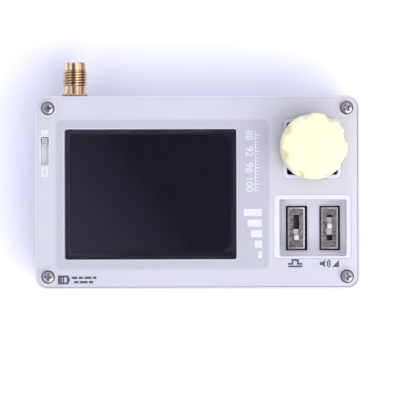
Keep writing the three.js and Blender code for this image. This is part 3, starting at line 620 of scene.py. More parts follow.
def screw_metal():
    """Screw steel with a painted highlight at the crown and painted shade in the recess and towards the
    rim.
    """
    s = Surface("screw_steel")
    radius, axis_z = s.corner_distance(), s.axes()[2]
    blotch = s.noise(1100, 4)
    scratch = s.noise(2500, 3, (1, 5, 1))
    body = s.mix(s.ramp(blotch, 0.4, 0.65), (0.84, 0.82, 0.83), (0.52, 0.48, 0.49))
    # Painted shade towards the rim of the dome, leaving the crown as a painted highlight.
    body = s.mix(s.ramp(radius, 0.75, 1.2), body, (0.31, 0.285, 0.29))
    # Painted shade in the cross recess.
    recess = s.times(s.ramp(axis_z, 20.35, 20.6, 0.4, 0), s.ramp(radius, 1.15, 1.3, 1, 0))
    body = s.mix(recess, body, (0.12, 0.105, 0.11))
    # Painted shade at the head's outer edge.
    s.color(s.mix(s.ramp(radius, 1.3, 1.6), body, (0.12, 0.10, 0.105)))
    s.roughness(scratch, (0.2, 0.36))
    s.bump(scratch, 0.12, 0.006)
    s.set(Metallic=1.0)
    return s.material


def pot_sheet():
    """Dull, stained sheet steel, with a painted highlight along the folded rim, stronger towards the
    right.
    """
    s = Surface("pot_sheet")
    blotch = s.noise(1700, 6, roughness=0.7)
    broad = s.noise(420, 3)
    axis_x = s.axes()[0]
    # Painted highlight along each can's folded rim, stronger on the right.
    painted_rim_highlights = []
    for rect in (can_rect(name) for name in POTS):
        band = s.ramp(s.away(s.rect_distance(rect), -0.38), 0.06, 0.22, 1, 0)
        painted_rim_highlights.append(s.times(band, s.ramp(axis_x, rect[0] - 1, rect[0] + 1, 0.4, 0.95)))
    body = s.mix(s.ramp(blotch, 0.35, 0.65), (0.39, 0.34, 0.345), (0.06, 0.048, 0.05))
    body = s.mix(s.ramp(broad, 0.35, 0.65, 0, 0.35), body, (0.11, 0.09, 0.095))
    painted_highlight = s.times(s.larger(*painted_rim_highlights), s.ramp(broad, 0.3, 0.6, 0.6, 1.0))
    s.color(s.mix(painted_highlight, body, (0.80, 0.77, 0.79)))
    s.roughness(blotch, (0.36, 0.52))
    s.bump(blotch, 0.3, 0.008)
    s.set(Metallic=1.0)
    return s.material


# Painted shade and light in the slider tray, and painted shade on the case's rim.
TRAY_LEFT_PAINTED_SHADE = (0.36, 0.36, 0.375)
TRAY_PAINTED_SHADE = (0.56, 0.56, 0.585)
TRAY_PAINTED_LIGHT = (0.82, 0.82, 0.82)
TRAY_SHADOW_COLOR = (0.20, 0.20, 0.21)
CAN_SHADOW_COLOR = (0.27, 0.265, 0.29)
CASE_RIM_PAINTED_SHADE = (0.58, 0.575, 0.60)


def case_plastic():
    """White moulded plastic with a fine grain, with painted shade on the rim's top, and painted shade,
    painted shadow and painted light in the slider tray.
    """
    s = Surface("case_white")
    broad, fine = s.noise(120, 4), s.noise(2200, 2)
    body = s.mix(s.ramp(broad, 0.35, 0.65), (0.655, 0.65, 0.715), (0.63, 0.625, 0.69))
    axis_x, axis_y, axis_z = s.axes()
    window = s.rect_distance(SLIDER_WINDOW)
    deep = s.times(s.ramp(window, 0.15, 0.3, 1, 0), s.ramp(axis_z, 15.5, 18.5, 1, 0))
    # Painted shade: the tray's floor darker than the case, and darker still on its left.
    tray = s.mix(s.ramp(axis_x, 21.5, 24, 1, 0), TRAY_PAINTED_SHADE, TRAY_LEFT_PAINTED_SHADE)
    # Painted shadow along the tray's left edge.
    painted_left_edge_shadow = s.times(s.ramp(window, -0.35, -0.1), s.ramp(axis_x, 22, 23, 1, 0))
    tray = s.mix(painted_left_edge_shadow, tray, TRAY_SHADOW_COLOR)
    # Painted light on the tray's right and bottom, where its walls' shade falls.
    lit = s.larger(s.ramp(axis_x, 35.5, 38.2), s.ramp(axis_y, -16.5, -13.5, 1, 0))
    tray = s.mix(lit, tray, TRAY_PAINTED_LIGHT)
    body = s.mix(s.times(deep, 0.9), body, tray)
    # Painted shade round the openings of the cans.
    painted_can_shade = s.larger(*(s.ramp(s.rect_distance(can_opening(name)), 0.0, 0.8, 0.3, 0) for name in POTS))
    body = s.mix(s.times(painted_can_shade, deep), body, CAN_SHADOW_COLOR)
    # Painted shade on the top of the case's rim.
    rim = s.times(s.ramp(s.rect_distance(CASE_RECT), -0.9, -0.7), s.ramp(axis_z, 18.8, 19.1))
    s.color(s.mix(rim, body, CASE_RIM_PAINTED_SHADE))
    s.roughness(s.plus(s.times(broad, 0.6), s.times(fine, 0.4)), (0.42, 0.55))
    s.bump(fine, 0.18, 0.02)
    return s.material


def ink(name, color, shade):
    """Screen-printed ink with slightly uneven cover."""
    return plain(name, color, shade, (0.4, 0.6), grain=2400, bump=0.1, mottle=700)


def board_mask():
    """Black solder mask with faint tracks and a woven glass ground."""
    s = Surface("board_black")
    weave = s.node("ShaderNodeTexWave", wave_type="BANDS", bands_direction="DIAGONAL")
    weave.inputs["Scale"].default_value = 900
    s.link(s.place, weave.inputs["Vector"])
    tracks = s.noise(260, 1, (1, 5, 1))
    s.color(s.mix(s.ramp(tracks, 0.48, 0.52), (0.010, 0.012, 0.012), (0.020, 0.026, 0.024)))
    s.roughness(tracks, (0.32, 0.48), 0.4, 0.6)
    s.bump(weave.outputs["Fac"], 0.05, 0.01)
    return s.material


# The finish of each material slot of the record.
MATERIALS = {
    "case_white": case_plastic(),
    "frosted_panel": frosted_panel(),
    "lens": clear_lens(),
    "display_black": display_glass(),
    "screw_steel": screw_metal(),
    "brass": worn_metal("turned_brass", (0.72, 0.53, 0.27), (0.64, 0.46, 0.22), (0.25, 0.16, 0.07),
                        (0.22, 0.34)),
    "gold_plate": worn_metal("gold_plate", (0.95, 0.76, 0.50), (0.40, 0.24, 0.12), (0.26, 0.16, 0.08),
                             (0.22, 0.36), mottle=610, stretch=(1, 0.06, 1), contrast=0.07, crevice=0.9),
    "nickel_sheet": worn_metal("nickel_sheet", (0.60, 0.58, 0.56), (0.50, 0.48, 0.46),
                               (0.12, 0.11, 0.10), (0.28, 0.42), mottle=500, bump=0.2),
    "board_black": board_mask(),
    "black_plastic": plain("black_plastic", (0.020, 0.020, 0.022), (0.030, 0.030, 0.032), (0.35, 0.5),
                           grain=1800),
    "white_plastic": two_tone_plastic("slider_white", (0.72, 0.71, 0.67), (0.60, 0.585, 0.53),
                                      (0.62, 0.57, 0.46),
                                      (CARRIAGE_TOP + 0.1, CARRIAGE_TOP + 0.6, 0.7, 0), (0.38, 0.5)),
    "knob_cream": knob_plastic(),
    "battery_foil": plain("battery_foil", (0.55, 0.56, 0.59), (0.48, 0.49, 0.52), (0.3, 0.45), grain=600,
                          bump=0.3, metallic=0.6),
    "foam": plain("foam", (0.030, 0.031, 0.034), (0.018, 0.018, 0.020), (0.85, 0.95),
                  grain=1200, bump=0.8, depth=0.1),
    "cone_paper": plain("cone_paper", (0.020, 0.020, 0.023), (0.032, 0.031, 0.034), (0.7, 0.9),
                        grain=1600, bump=0.6, depth=0.05),
    "red_wire": plain("red_wire", (0.42, 0.03, 0.03), (0.36, 0.02, 0.02), (0.4, 0.5)),
    "black_wire": plain("black_wire", (0.015, 0.015, 0.016), (0.022, 0.022, 0.024), (0.4, 0.5)),
    "amber_film": plain("amber_film", (0.42, 0.18, 0.04), (0.36, 0.14, 0.03), (0.25, 0.4), mottle=300),
    "ptfe": plain("ptfe", (0.82, 0.81, 0.78), (0.76, 0.75, 0.72), (0.4, 0.55), grain=1500),
}
CAN_SHEET = pot_sheet()
GASKET = plain("display_gasket", (0.030, 0.028, 0.042), (0.024, 0.022, 0.034), (0.6, 0.8), grain=1500)
# Painted shade: the lever's top is painted greyer than the shield below it.
SWITCH_GREY = two_tone_plastic("switch_grey", (0.68, 0.67, 0.68), (0.64, 0.63, 0.64), (0.50, 0.49, 0.51),
                               (17.3, 18.7), (0.4, 0.55))
INK_WHITE = ink("ink_white", (0.68, 0.675, 0.76), (0.63, 0.625, 0.71))
INK_GREY = ink("ink_grey", (0.065, 0.062, 0.085), (0.085, 0.082, 0.105))


def dress_cad_nodes():
    """Every CAD node gets the procedural finish of its slot."""
    for part in frame["record"]["subparts"]:
        obj = frame["nodes"][part["node"]]
        obj.data.materials.clear()
        obj.data.materials.append(MATERIALS[part["material_slot"]])


# ---- Case ----

def jack_window():
    half = JACK.width / 2 + 0.15
    return box("jack_window", JACK.x - half, JACK.x + half, 20, 30, JACK.z - half, JACK.z + half)


def corner_pieces(profile, count=24):
    """The same turned solid at each of the four corners."""
    return [turned("corner", x, y, profile, count) for x, y in CORNERS]


def grille_slots():
    """Slots as long as a round speaker grille is wide at their height."""
    radius, pitch, width = 8.2, 2.5, 1.4
    slots = []
    for k in range(-3, 4):
        offset = pitch * k
        length = 2 * math.sqrt(radius ** 2 - offset ** 2)
        slots.append(plate("slot", (SPEAKER.x, SPEAKER.y + offset, length, width, width / 2), -1, 3))
    return slots


def rear_cover():
    top = SEAM - CASE_GAP
    cover = plate("rear_cover_shell", CASE_RECT, COVER.z0, top, low=1.0, high=0.18, arc=12)
    cover = cut(cover, plate("cavity", INNER, 2, top + 2))
    lip = cut(plate("lip", grow(INNER, 0.85), top - 1, COVER.z1), plate("bore", INNER, 0, 20))
    cover = join(cover, lip, *corner_pieces([(POST_RADIUS, 1.5), (POST_RADIUS, top - 0.1)]))
    port = plate("usb_port", (0, 0, USB.width + 0.7, USB.depth + 0.7, USB.depth / 2), 20, 30)
    funnel = loft("usb_funnel", [rect_ring((0, 0, USB.width + 0.6, USB.depth + 0.6, 1.8), 24.2),
                                 rect_ring((0, 0, USB.width + 2.2, USB.depth + 2.2, 2.6), 25.2)])
    phones_hole = turned("phones_hole", 0, 0, [(2.65, 20), (2.65, 30)], 40)
    cuts = [jack_window(), *corner_pieces([(1.72, 4.7), (1.72, 12)]),
            along_y(port, USB.x, USB.z, mirrored=True), along_y(funnel, USB.x, USB.z, mirrored=True),
            along_y(phones_hole, PHONES.x, PHONES_AXIS_Z), *grille_slots()]
    return soften(cut(cover, *cuts), 0.16)


def front_shell():
    """The front half of the case, open behind the panel for everything that the panel shows."""
    shell = plate("front_frame_shell", CASE_RECT, SEAM, FRAME.z1, low=0.18, high=0.18, arc=12)
    shell = cut(shell, plate("recess", RIM_RECT, PANEL.z0 - 0.05, FRAME.z1 + 1, arc=12))
    rebate = plate("rebate", grow(INNER, 0.97), SEAM - 1, 10.82)
    shell = cut(shell, plate("cavity", INNER, SEAM - 1, 16), rebate)
    shell = join(shell, *corner_pieces([(POST_RADIUS, 10.9), (POST_RADIUS, 16.4)]))
    openings = [DISPLAY_POCKET, grow(KNOB_WINDOW, 1), grow(SLIDER_WINDOW, 0.2), SWITCH_OPENING]
    shield_track = box("track", -41.05, -38.75, 2.8, 18.9, 16.9, 18)
    switch_bay = box("bay", -41.1, -39.2, 5.8, 15.4, 10.7, 16)
    shell = cut(shell, *[plate("opening", rect, 15, 19) for rect in openings], shield_track, switch_bay,
                jack_window(), *corner_pieces([(SHANK_HOLE, 9), (SHANK_HOLE, 19)]))
    return soften(shell, 0.1)


def front_frame():
    """The front shell with the knob's collar and the sunken tray of the slide controls."""
    knob_collar = plate("knob_collar", grow(KNOB_OPENING, -0.02), 16.1, COLLAR_TOP, high=0.1)
    knob_collar = soften(cut(knob_collar, plate("window", KNOB_WINDOW, 10, 25)), 0.22, 3)
    tray = plate("slider_tray", grow(SLIDER_WINDOW, 1.1), TRAY_BOTTOM, 17)
    tray = join(tray, plate("collar", grow(SLIDER_OPENING, -0.02), 16.2, COLLAR_TOP, high=0.1))
    cuts = [plate("can_hole", can_opening(name), 10, 16) for name in POTS]
    tray = soften(cut(tray, plate("window", SLIDER_WINDOW, TRAY_TOP, 25), *cuts), 0.22, 3)
    return merged("front_frame_shell", [front_shell(), knob_collar, tray])


def front_panel():
    panel = plate("front_panel_plate", PANEL_RECT, PANEL.z0, PANEL.z1, low=0.15, high=0.1, arc=14)
    openings = [DISPLAY_OPENING, KNOB_OPENING, SLIDER_OPENING, SWITCH_OPENING]
    cuts = [plate("opening", rect, 10, 25) for rect in openings]
    return soften(cut(panel, *cuts, *corner_pieces([(SHANK_HOLE, 10), (SHANK_HOLE, 25)], 32)), 0.1, 2)


def screw(name, turn):
    """Pan-head screw with a tapered cross recess, turned by some degrees."""
    span = Span(name)
    x, y, seat, crown = span.x, span.y, PANEL.z1 + 0.05, span.z1
    radius, head, shank = span.width / 2 - 0.06, crown - seat, 0.95
    profile = [(0.5, span.z0), (shank, span.z0 + 0.5), (shank, seat), (radius - 0.08, seat),
               (radius, seat + 0.08)]
    for k in range(9):
        angle = math.pi / 2 * k / 8
        rise = 0.5 * head + 0.5 * head * math.sin(angle)
        profile.append((radius * math.cos(angle) ** 0.8, seat + rise))
    body = turned(name + "_head", x, y, profile, 56)
    arms = []
    for quarter in (0, 90):
        arm = loft("arm", [rect_ring((0, 0, 1.0, 0.40, 0.08), crown - 0.95, 2),
                           rect_ring((0, 0, 2.4, 0.86, 0.08), crown + 0.1, 2)])
        arm.data.transform(Matrix.Rotation(math.radians(quarter + turn), 4, "Z"))
        arm.data.transform(Matrix.Translation(Vector((x, y, 0)) * MM))
        arms.append(arm)
    return soften(cut(body, *arms), 0.035, 2)


# ---- Display ----


def display_pieces():
    low, high = GLASS.z1 + 0.02, PANEL.z0 - 0.02
    gasket = plate("display_gasket", grow(DISPLAY_OPENING, 0.5), low, high, high=0.05)
    gasket = cut(gasket, plate("window", (GLASS.x, GLASS.y, 43.1, 32.2, 0.6), 10, 20))
    place(soften(gasket, 0), "case", "display_black", material=GASKET)
    lens = plate("display_lens", LENS.rect(0.5), LENS.z0, LENS.z1, 0.05, 0.12)
    place(soften(lens, 0), "case", "lens", "display_window")
    glass = plate("display_module_glass", GLASS.rect(0.6), GLASS.z0, GLASS.z1, 0.05, 0.12)
    place(soften(glass, 0), "case", "display_black", "display_glass")


# ---- Knob and encoder ----


def smooth_min(a, b, blend):
    h = max(blend - abs(a - b), 0) / blend
    return min(a, b) - h * h * blend / 4


def knob_radius(angle, inset, depth):
    """The grip's rim at an angle: broad bumps with a round notch between each two."""
    rim, notch = KNOB.width / 2, KNOB_NOTCH_RADIUS
    centre = rim + notch - depth
    pitch = 2 * math.pi / KNOB_NOTCHES
    away = (angle - math.radians(KNOB_NOTCH_START) + pitch / 2) % pitch - pitch / 2
    reach = (notch + inset) ** 2 - (centre * math.sin(away)) ** 2
    radius = rim - inset
    if reach <= 0:
        return radius
    return smooth_min(radius, centre * math.cos(away) - math.sqrt(reach), 0.35)


def knob_ring(inset, depth, z, count=240):
    ring = []
    for i in range(count):
        angle = 2 * math.pi * i / count
        radius = knob_radius(angle, inset, depth)
        ring.append((KNOB.x + radius * math.cos(angle), KNOB.y + radius * math.sin(angle), z))
    return ring


def tuning_knob():
    """A round skirt, a scalloped grip whose notches run out above it, and a softly rounded top edge."""
    low, high = KNOB.z0, KNOB.z1
    rings = [knob_ring(0.35, 0, low), knob_ring(0.1, 0, low + 0.1), knob_ring(0.05, 0, low + 0.35)]
    rings.append(knob_ring(0.05, 0, low + KNOB_SKIRT))
    for k in range(1, 7):
        fade = k / 6
        depth = KNOB_NOTCH_DEPTH * math.sin(fade * math.pi / 2)
        rings.append(knob_ring(0.05, depth, low + KNOB_SKIRT + 0.9 * fade ** 1.5))
    rings.append(knob_ring(0.12, KNOB_NOTCH_DEPTH, high - 3.2))
    for inset, z in fillet_steps(high - 0.12, KNOB_EDGE, up=True, steps=9):
        rings.append(knob_ring(0.12 + inset, KNOB_NOTCH_DEPTH, z))
    rings.append(knob_ring(2.4, KNOB_NOTCH_DEPTH - 0.05, high - 0.02))
    rings.append(knob_ring(4.2, 0.2, high))
    rings += [circle(KNOB.x, KNOB.y, high, radius, len(rings[0])) for radius in (3, 1)]
    knob = loft("tuning_knob_cap", rings)
    hollow = turned("hollow", KNOB.x, KNOB.y, [(6.5, low - 1), (6.5, 27.2), (6.2, 27.4)], 64)
    hub = turned("hub", KNOB.x, KNOB.y, [(4.7, low + 0.1), (4.7, 28)], 48)
    bore = turned("bore", KNOB.x, KNOB.y, [(3.85, low - 1), (3.85, 22.9), (3.1, 22.9), (3.1, 29.2)], 48)
    knob = cut(join(cut(knob, hollow), hub), bore)
    return soften(knob, 0.12, 2, 50)


def screw_thread(radius, depth, pitch, z0, z1, count=64, steps=10):
    """Rings of an upright external thread, one helix, that fades in and out at its ends."""
    rings = []
    total = int(round((z1 - z0) / pitch * steps))
    for k in range(total + 1):
        z = z0 + (z1 - z0) * k / total
        fade = min(1, (z - z0) / (0.4 * pitch), (z1 - z) / (0.4 * pitch))
        ring = []
        for i in range(count):
            turn = i / count
            angle = 2 * math.pi * turn
            phase = ((z - z0) / pitch - turn) % 1
            crest = 0.5 + 0.5 * math.cos(2 * math.pi * phase)
            r = radius - depth + depth * fade * min(1, crest * 1.5)
            ring.append((r * math.cos(angle), r * math.sin(angle), z))
        rings.append(ring)
    return rings


def encoder_pieces():
    top = ENCODER.z1
    base = plate("encoder_case", ENCODER.rect(0.5), ENCODER.z0, top, high=0.3)
    strap = plate("strap", (ENCODER.x, ENCODER.y, ENCODER.width + 0.3, 5.2, 0.3), top - 4.5, top)
    hole = turned("hole", KNOB.x, KNOB.y, [(4, 8), (4, 15.4), (3.3, 15.4), (3.3, 20)], 40)
    dimple = [(0.45, top - 0.2), (0.6, top + 0.1)]
    dimples = [turned("dimple", ENCODER.x + dx, ENCODER.y + dy, dimple, 16)
               for dx in (-4.6, 4.6) for dy in (-4.6, 4.6)]
    place(soften(cut(join(base, strap), hole, *dimples), 0.1), "case", "nickel_sheet", "encoder_body")

    x, y, low, high = BUSHING.x, BUSHING.y, BUSHING.z0, BUSHING.z1
    rings = circles([(4.4, low), (4.4, low + 0.45), (3.3, low + 0.55)])
    rings += screw_thread(3.5, 0.25, 0.75, low + 0.9, high - 0.4)
    rings += circles([(3.2, high - 0.3), (3.19, high)])
    sleeve = loft("encoder_sleeve", [[(px + x, py + y, pz) for px, py, pz in ring] for ring in rings])
    sleeve = cut(sleeve, turned("bore", x, y, [(3.16, low - 1), (3.16, high + 1)], 64))
    place(soften(sleeve, 0), "case", "nickel_sheet", "encoder_bushing")

    shaft = turned("encoder_pin", KNOB.x, KNOB.y,
                   [(2.6, SHAFT.z0), (3, SHAFT.z0 + 0.4), (3, SHAFT.z1 - 0.4), (2.6, SHAFT.z1)], 48)
    flat = box("flat", KNOB.x + 1.5, KNOB.x + 4, KNOB.y - 4, KNOB.y + 4, 23.1, 31)
    place(soften(cut(shaft, flat), 0.08), "tuning_knob", "brass", "encoder_shaft")


# ---- Slide controls ----


def slide_control(name):
    can = Span(name + "_pot_can")
    rect, top = can_rect(name), can.z1
    profile = [(0, can.z0), (0, top - 0.3), (0.05, top - 0.14), (0.13, top - 0.07), (0.4, top),
               (0.46, top - 0.08), (0.8, top - 0.08)]
    shell = loft(name + "_can", [rect_ring(grow(rect, -inset), z, 6) for inset, z in profile])
    hollow = plate("hollow", grow(rect, -0.3), can.z0 - 1, top - 0.36)
    slot = plate("slot", (can.x, can.y, 1.5, 6.7, 0.25), top - 2, top + 1)
    shell = soften(cut(shell, hollow, slot), 0.05, 2)
    place(shell, "case", "nickel_sheet", name + "_pot_can", material=CAN_SHEET)

    slider = Span(name + "_slider")
    lever_y, wedge_y = slider.y1 - 2.3, slider.y1 - 0.2
    carriage = plate(name + "_carriage", slider.rect(0.3), slider.z0, CARRIAGE_TOP, high=0.12)
    wedge = loft("wedge", [wedge_ring(slider.x, wedge_y, 0.35, CARRIAGE_TOP - 0.05),
                           wedge_ring(slider.x, lever_y, 0.6, CARRIAGE_TOP + 0.33)])
    lever = plate("lever", (slider.x, lever_y, 1.3, 1.3, 0.15), LEVER_FOOT, slider.z1, high=0.18, arc=4)
    piece = soften(join(carriage, wedge, lever), 0.06)
    place(piece, name + "_slider", "white_plastic", name + "_slider")


def wedge_ring(x, y, half, top):
    """An upright rectangle across the slide, one end of the wedge between a carriage and its lever."""
    return [(x - half, y, LEVER_FOOT), (x + half, y, LEVER_FOOT), (x + half, y, top), (x - half, y, top)]


# ---- Power switch ----


def power_switch():
    body = plate("power_switch_case", SWITCH.rect(0.2), SWITCH.z0, SWITCH.z1, high=0.1)
    well = plate("well", (SWITCH_OPENING[0], 11.4, 1.3, 6.4, 0.2), 13, 17)
    place(soften(cut(body, well), 0.08), "case", "nickel_sheet", "power_switch_body")

    lever = SWITCH_LEVER
    shield_bottom, shield_top, cap_y = 17, 17.3, lever.y1 - 5.3
    shield = plate("power_lever", lever.rect(0.2), shield_bottom, shield_top, 0.05, 0.08)
    cap = plate("cap", (lever.x, cap_y, 1.5, 2, 0.25), 17.1, lever.z1, high=0.2)
    stem = plate("stem", (lever.x, cap_y, 0.9, 1.2, 0.1), lever.z0, 17.1)
    grooves = [box("groove", -42, -38, cap_y + offset - 0.1, cap_y + offset + 0.1, lever.z1 - 0.25, 20)
               for offset in (-0.55, 0, 0.55)]
    piece = soften(cut(join(shield, cap, stem), *grooves), 0.06)
    place(piece, "power_switch_lever", "white_plastic", "power_switch_lever", material=SWITCH_GREY)


# ---- Antenna socket ----


def antenna_socket():
    tip, flange, thread_start, thread_end = JACK.y1, JACK_FLANGE_Y, 28.25, 32.6
    rings = circles([(2.78, flange - 1), (2.78, thread_start - 0.05)])
    rings += screw_thread(3.175, 0.42, THREAD_PITCH, thread_start, thread_end, steps=12)
    rings += circles([(2.86, thread_end + 0.05), (2.86, tip - 0.45), (2.7, tip), (2.35, tip),
                      (2.22, tip - 0.2), (2.2, tip - 1.6)])
    barrel = soften(along_y(loft("barrel", rings), JACK.x, JACK.z), 0)
    square = plate("flange", (0, 0, JACK.width, JACK.depth, 0.3), 23.3, flange, low=0.1, high=0.2)
    legs = [along_y(plate("leg", (x, 0, 1, 1, 0.1), 19.4, 23.6, low=0.2), JACK.x, z)
            for x in (-2.95, 2.95) for z in (11.15, 8.45)]
    square = soften(join(along_y(square, JACK.x, JACK.z), *legs), 0)
    body = merged("antenna_socket", [barrel, square])
    place(body, "case", "gold_plate", "antenna_jack_body")

    profile = [(2.1, PTFE.y0), (2.1, PTFE.y1 - 0.1), (2.0, PTFE.y1)]
    sleeve = along_y(turned("antenna_insulator", 0, 0, profile), PTFE.x, PTFE.z)
    bore = along_y(turned("bore", 0, 0, [(0.72, 20), (0.72, 40)], 32), PTFE.x, PTFE.z)
    place(soften(cut(sleeve, bore), 0), "case", "ptfe", "antenna_jack_dielectric")

    pin = turned("antenna_contact", 0, 0, [(0.64, PIN.y0), (0.64, PIN.y1 - 0.15), (0.52, PIN.y1)], 32)
    pin = along_y(pin, PIN.x, PIN.z)
    hole = along_y(turned("hole", 0, 0, [(0.42, PIN.y1 - 4), (0.42, PIN.y1 + 1)], 24), PIN.x, PIN.z)
    slit = box("slit", PIN.x - 0.08, PIN.x + 0.08, PIN.y1 - 2, PIN.y1 + 1, PIN.z - 1, PIN.z + 1)
    place(soften(cut(pin, hole, slit), 0), "case", "gold_plate", "antenna_jack_contact")


# ---- Ports and loudspeaker ----


def ports():
    rect = (0, 0, USB.width, USB.depth, USB.depth / 2)
    shell = plate("usb_shell", rect, -USB.y1, -USB.y0, high=0.12, arc=10)
    shell = cut(shell, plate("mouth", grow(rect, -0.3), 1.2 - USB.y1, 5 - USB.y0, arc=10))
    tongue = plate("tongue", (0, 0, 6.6, 0.7, 0.2), 0.8 - USB.y1, -USB.y0 - 0.8, high=0.15)
    pads = [box("pad", x - 0.13, x + 0.13, -0.38, 0.38, 3 - USB.y1, -USB.y0 - 1.2)
            for x in [(k - 5.5) * 0.5 for k in range(12)]]
    shell = join(soften(shell, 0.05), soften(tongue, 0), *pads)
    shell = along_y(shell, USB.x, USB.z, mirrored=True)
    place(soften(shell, 0), "case", "nickel_sheet", "usb_c_socket")

    rect = (PHONES.x, 17.6, PHONES.width, 10.8, 0.3)
    body = plate("headphone_jack", rect, PHONES.z0, PHONES.z1, 0.1, 0.1)
    collar = turned("collar", 0, 0, [(2.45, 22), (2.45, PHONES.y1 - 0.2), (2.25, PHONES.y1)], 48)
    bore = turned("bore", 0, 0, [(1.8, 13.2), (1.8, PHONES.y1 - 0.2), (2.05, PHONES.y1 + 0.1)], 48)
    body = join(body, along_y(collar, PHONES.x, PHONES_AXIS_Z))
    body = cut(body, along_y(bore, PHONES.x, PHONES_AXIS_Z))
    place(soften(body, 0.06), "case", "black_plastic", "headphone_socket")


def speaker():
    x, y, low, high, radius = SPEAKER.x, SPEAKER.y, SPEAKER.z0, SPEAKER.z1, SPEAKER.width / 2
    profile = [(4.2, high - 1.8), (radius * 0.86, low + 0.9), (radius - 0.9, low + 0.9),
               (radius - 0.9, low), (radius - 0.1, low), (radius, low + 0.1), (radius, low + 1.6),
               (radius * 0.55, high - 1.2), (radius * 0.55, high - 0.1), (radius * 0.54, high)]
    basket = soften(turned("speaker_chassis", x, y, profile, 72), 0.06)
    place(basket, "case", "nickel_sheet", "speaker_basket")
    half = CONE.width / 2
    profile = [(1, CONE.z0 + 0.95), (3, CONE.z0 + 1.15), (3.9, CONE.z0 + 1.35)]
    for k in range(1, 7):
        profile.append((3.9 + (half * 0.8 - 3.9) * k / 6, CONE.z0 + 1.35 - 1.05 * k / 6))
    for k in range(1, 8):
        angle = math.pi * k / 8
        profile.append((half * 0.8 + 1.5 * k / 8, CONE.z0 + 0.3 - 0.28 * math.sin(angle)))
    profile += [(half, CONE.z0 + 0.2), (half, CONE.z0 + 0.5), (4.2, CONE.z1), (1, CONE.z1)]
    cone = soften(turned("speaker_diaphragm", x, y, profile, 72), 0)
    place(cone, "case", "cone_paper", "speaker_cone")


# ---- Printed marks ----


def patch(x0, x1, y0, y1):
    """A printed rectangle on the panel's face."""
    base = PANEL.z1 + PRINT_LIFT
    return box("patch", min(x0, x1), max(x0, x1), min(y0, y1), max(y0, y1), base, base + PRINT_DEPTH)


def arc_band(x, y, inner, outer, start, end, steps=18):
    """A printed band along an arc, angles in degrees."""
    points = []
    for radius, order in ((outer, range(steps + 1)), (inner, range(steps, -1, -1))):
        for k in order:
            angle = math.radians(start + (end - start) * k / steps)
            points.append((x + radius * math.cos(angle), y + radius * math.sin(angle)))
    return polygon(points)


def outline(x0, x1, y0, y1, stroke):
    """A printed rectangle drawn as four strokes."""
    low, high = y0 + stroke, y1 - stroke
    return [patch(x0, x1, y0, low), patch(x0, x1, high, y1), patch(x0, x0 + stroke, low, high),
            patch(x1 - stroke, x1, low, high)]


def polygon(points):
    """A printed shape, from its outline anticlockwise."""
    base = PANEL.z1 + PRINT_LIFT
    return loft("shape", [[(x, y, z) for x, y in points] for z in (base, base + PRINT_DEPTH)])


def number(text, x, y, height, turn):
    """A printed number, its centre at x and y."""
    curve = bpy.data.curves.new("number", "FONT")
    curve.body = text
    curve.size = height * MM * 1.38
    curve.align_x = "CENTER"
    curve.align_y = "CENTER"
    curve.extrude = PRINT_DEPTH * MM / 2
    curve.offset = height * MM * 0.012
    obj = new_object("number", curve)
    obj.rotation_euler = (0, 0, math.radians(turn))
    obj.location = Vector((x, y, PANEL.z1 + PRINT_LIFT + PRINT_DEPTH / 2)) * MM
    bpy.context.view_layer.update()
    mesh = bpy.data.meshes.new_from_object(obj.evaluated_get(bpy.context.evaluated_depsgraph_get()))
    mesh.transform(obj.matrix_world)
    bpy.data.objects.remove(obj)
    return new_object("number", mesh)


def marks():
    white = [*dial_scale(), *strength_bars(), *switch_legends()]
    grey = [*squelch_mark(), *volume_mark(), *corner_mark()]
    place(merged("white_print", white), "case", "frosted_panel", material=INK_WHITE)
    place(merged("grey_print", grey), "case", "frosted_panel", material=INK_GREY)


def dial_scale():
    """A vertical dial beside the display: numbers with ticks along a line."""
    pieces = []
    top, bottom, labels = 16.3, 0.3, ["88", "92", "96", "100"]
    first, last = top - 1.35, bottom + 1.85
    step = (first - last) / (len(labels) - 1)
    for k, label in enumerate(labels):
        y = first - k * step
        pieces.append(number(label, 13.5, y, 2.0, -90))
        pieces.append(patch(15.2, 16.45, y - 0.13, y + 0.13))
        for minor in range(1, 5):
            tick_y = y - step * minor / 5
            if tick_y > bottom:
                pieces.append(patch(15.2, 15.95, tick_y - 0.09, tick_y + 0.09))
    pieces.append(patch(15.0, 15.2, bottom, top))
    return pieces


def strength_bars():
    """Five bold bars of rising length."""
    right, bottom = 16.8, -17.2
    pitch, thick = 2.75, 1.85
    return [patch(right - 4.7 * (k + 1) / 5, right, bottom + k * pitch, bottom + k * pitch + thick)
            for k in range(5)]


def switch_legends():
    """A full block for on and a hollow one for off, at the ends of the switch slot."""
    x, half, stroke = SWITCH_OPENING[0], 0.84, 0.5
    low, high = 4.15, 6.85
    full = patch(x - half, x + half, 14.95, 16.45)
    return [full, *outline(x - half, x + half, low, high, stroke)]


def squelch_mark():
    """A threshold line under a short pulse."""
    x, y, stroke = 25.45, LEGEND_Y, 0.46
    end, step, foot, crest = 1.85, 0.7, -0.05, 0.95
    half = stroke / 2
    right = [(step + half, crest + half), (step + half, foot + half), (end, foot + half),
             (end, foot - half), (step - half, foot - half), (step - half, crest - half)]
    left = [(-px, py) for px, py in reversed(right)]
    pulse = polygon([(x + px, y + py) for px, py in reversed(right + left)])
    return [patch(x - end, x + end, y - 0.95, y - 0.95 + stroke), pulse]


def volume_mark():
    """A small loudspeaker with two waves and a rising wedge."""
    x, y = 32.9, LEGEND_Y
    horn = polygon([(x - 1, y - 0.4), (x - 0.35, y - 0.4), (x + 0.35, y - 0.95), (x + 0.35, y + 0.95),
                    (x - 0.35, y + 0.4), (x - 1, y + 0.4)])
    waves = [arc_band(x + 0.2, y, r, r + 0.34, -44, 44) for r in (0.7, 1.3)]
    wedge = polygon([(x + 2.2, y - 0.9), (x + 4, y - 0.9), (x + 4, y + 0.9)])
    return [horn, *waves, wedge]


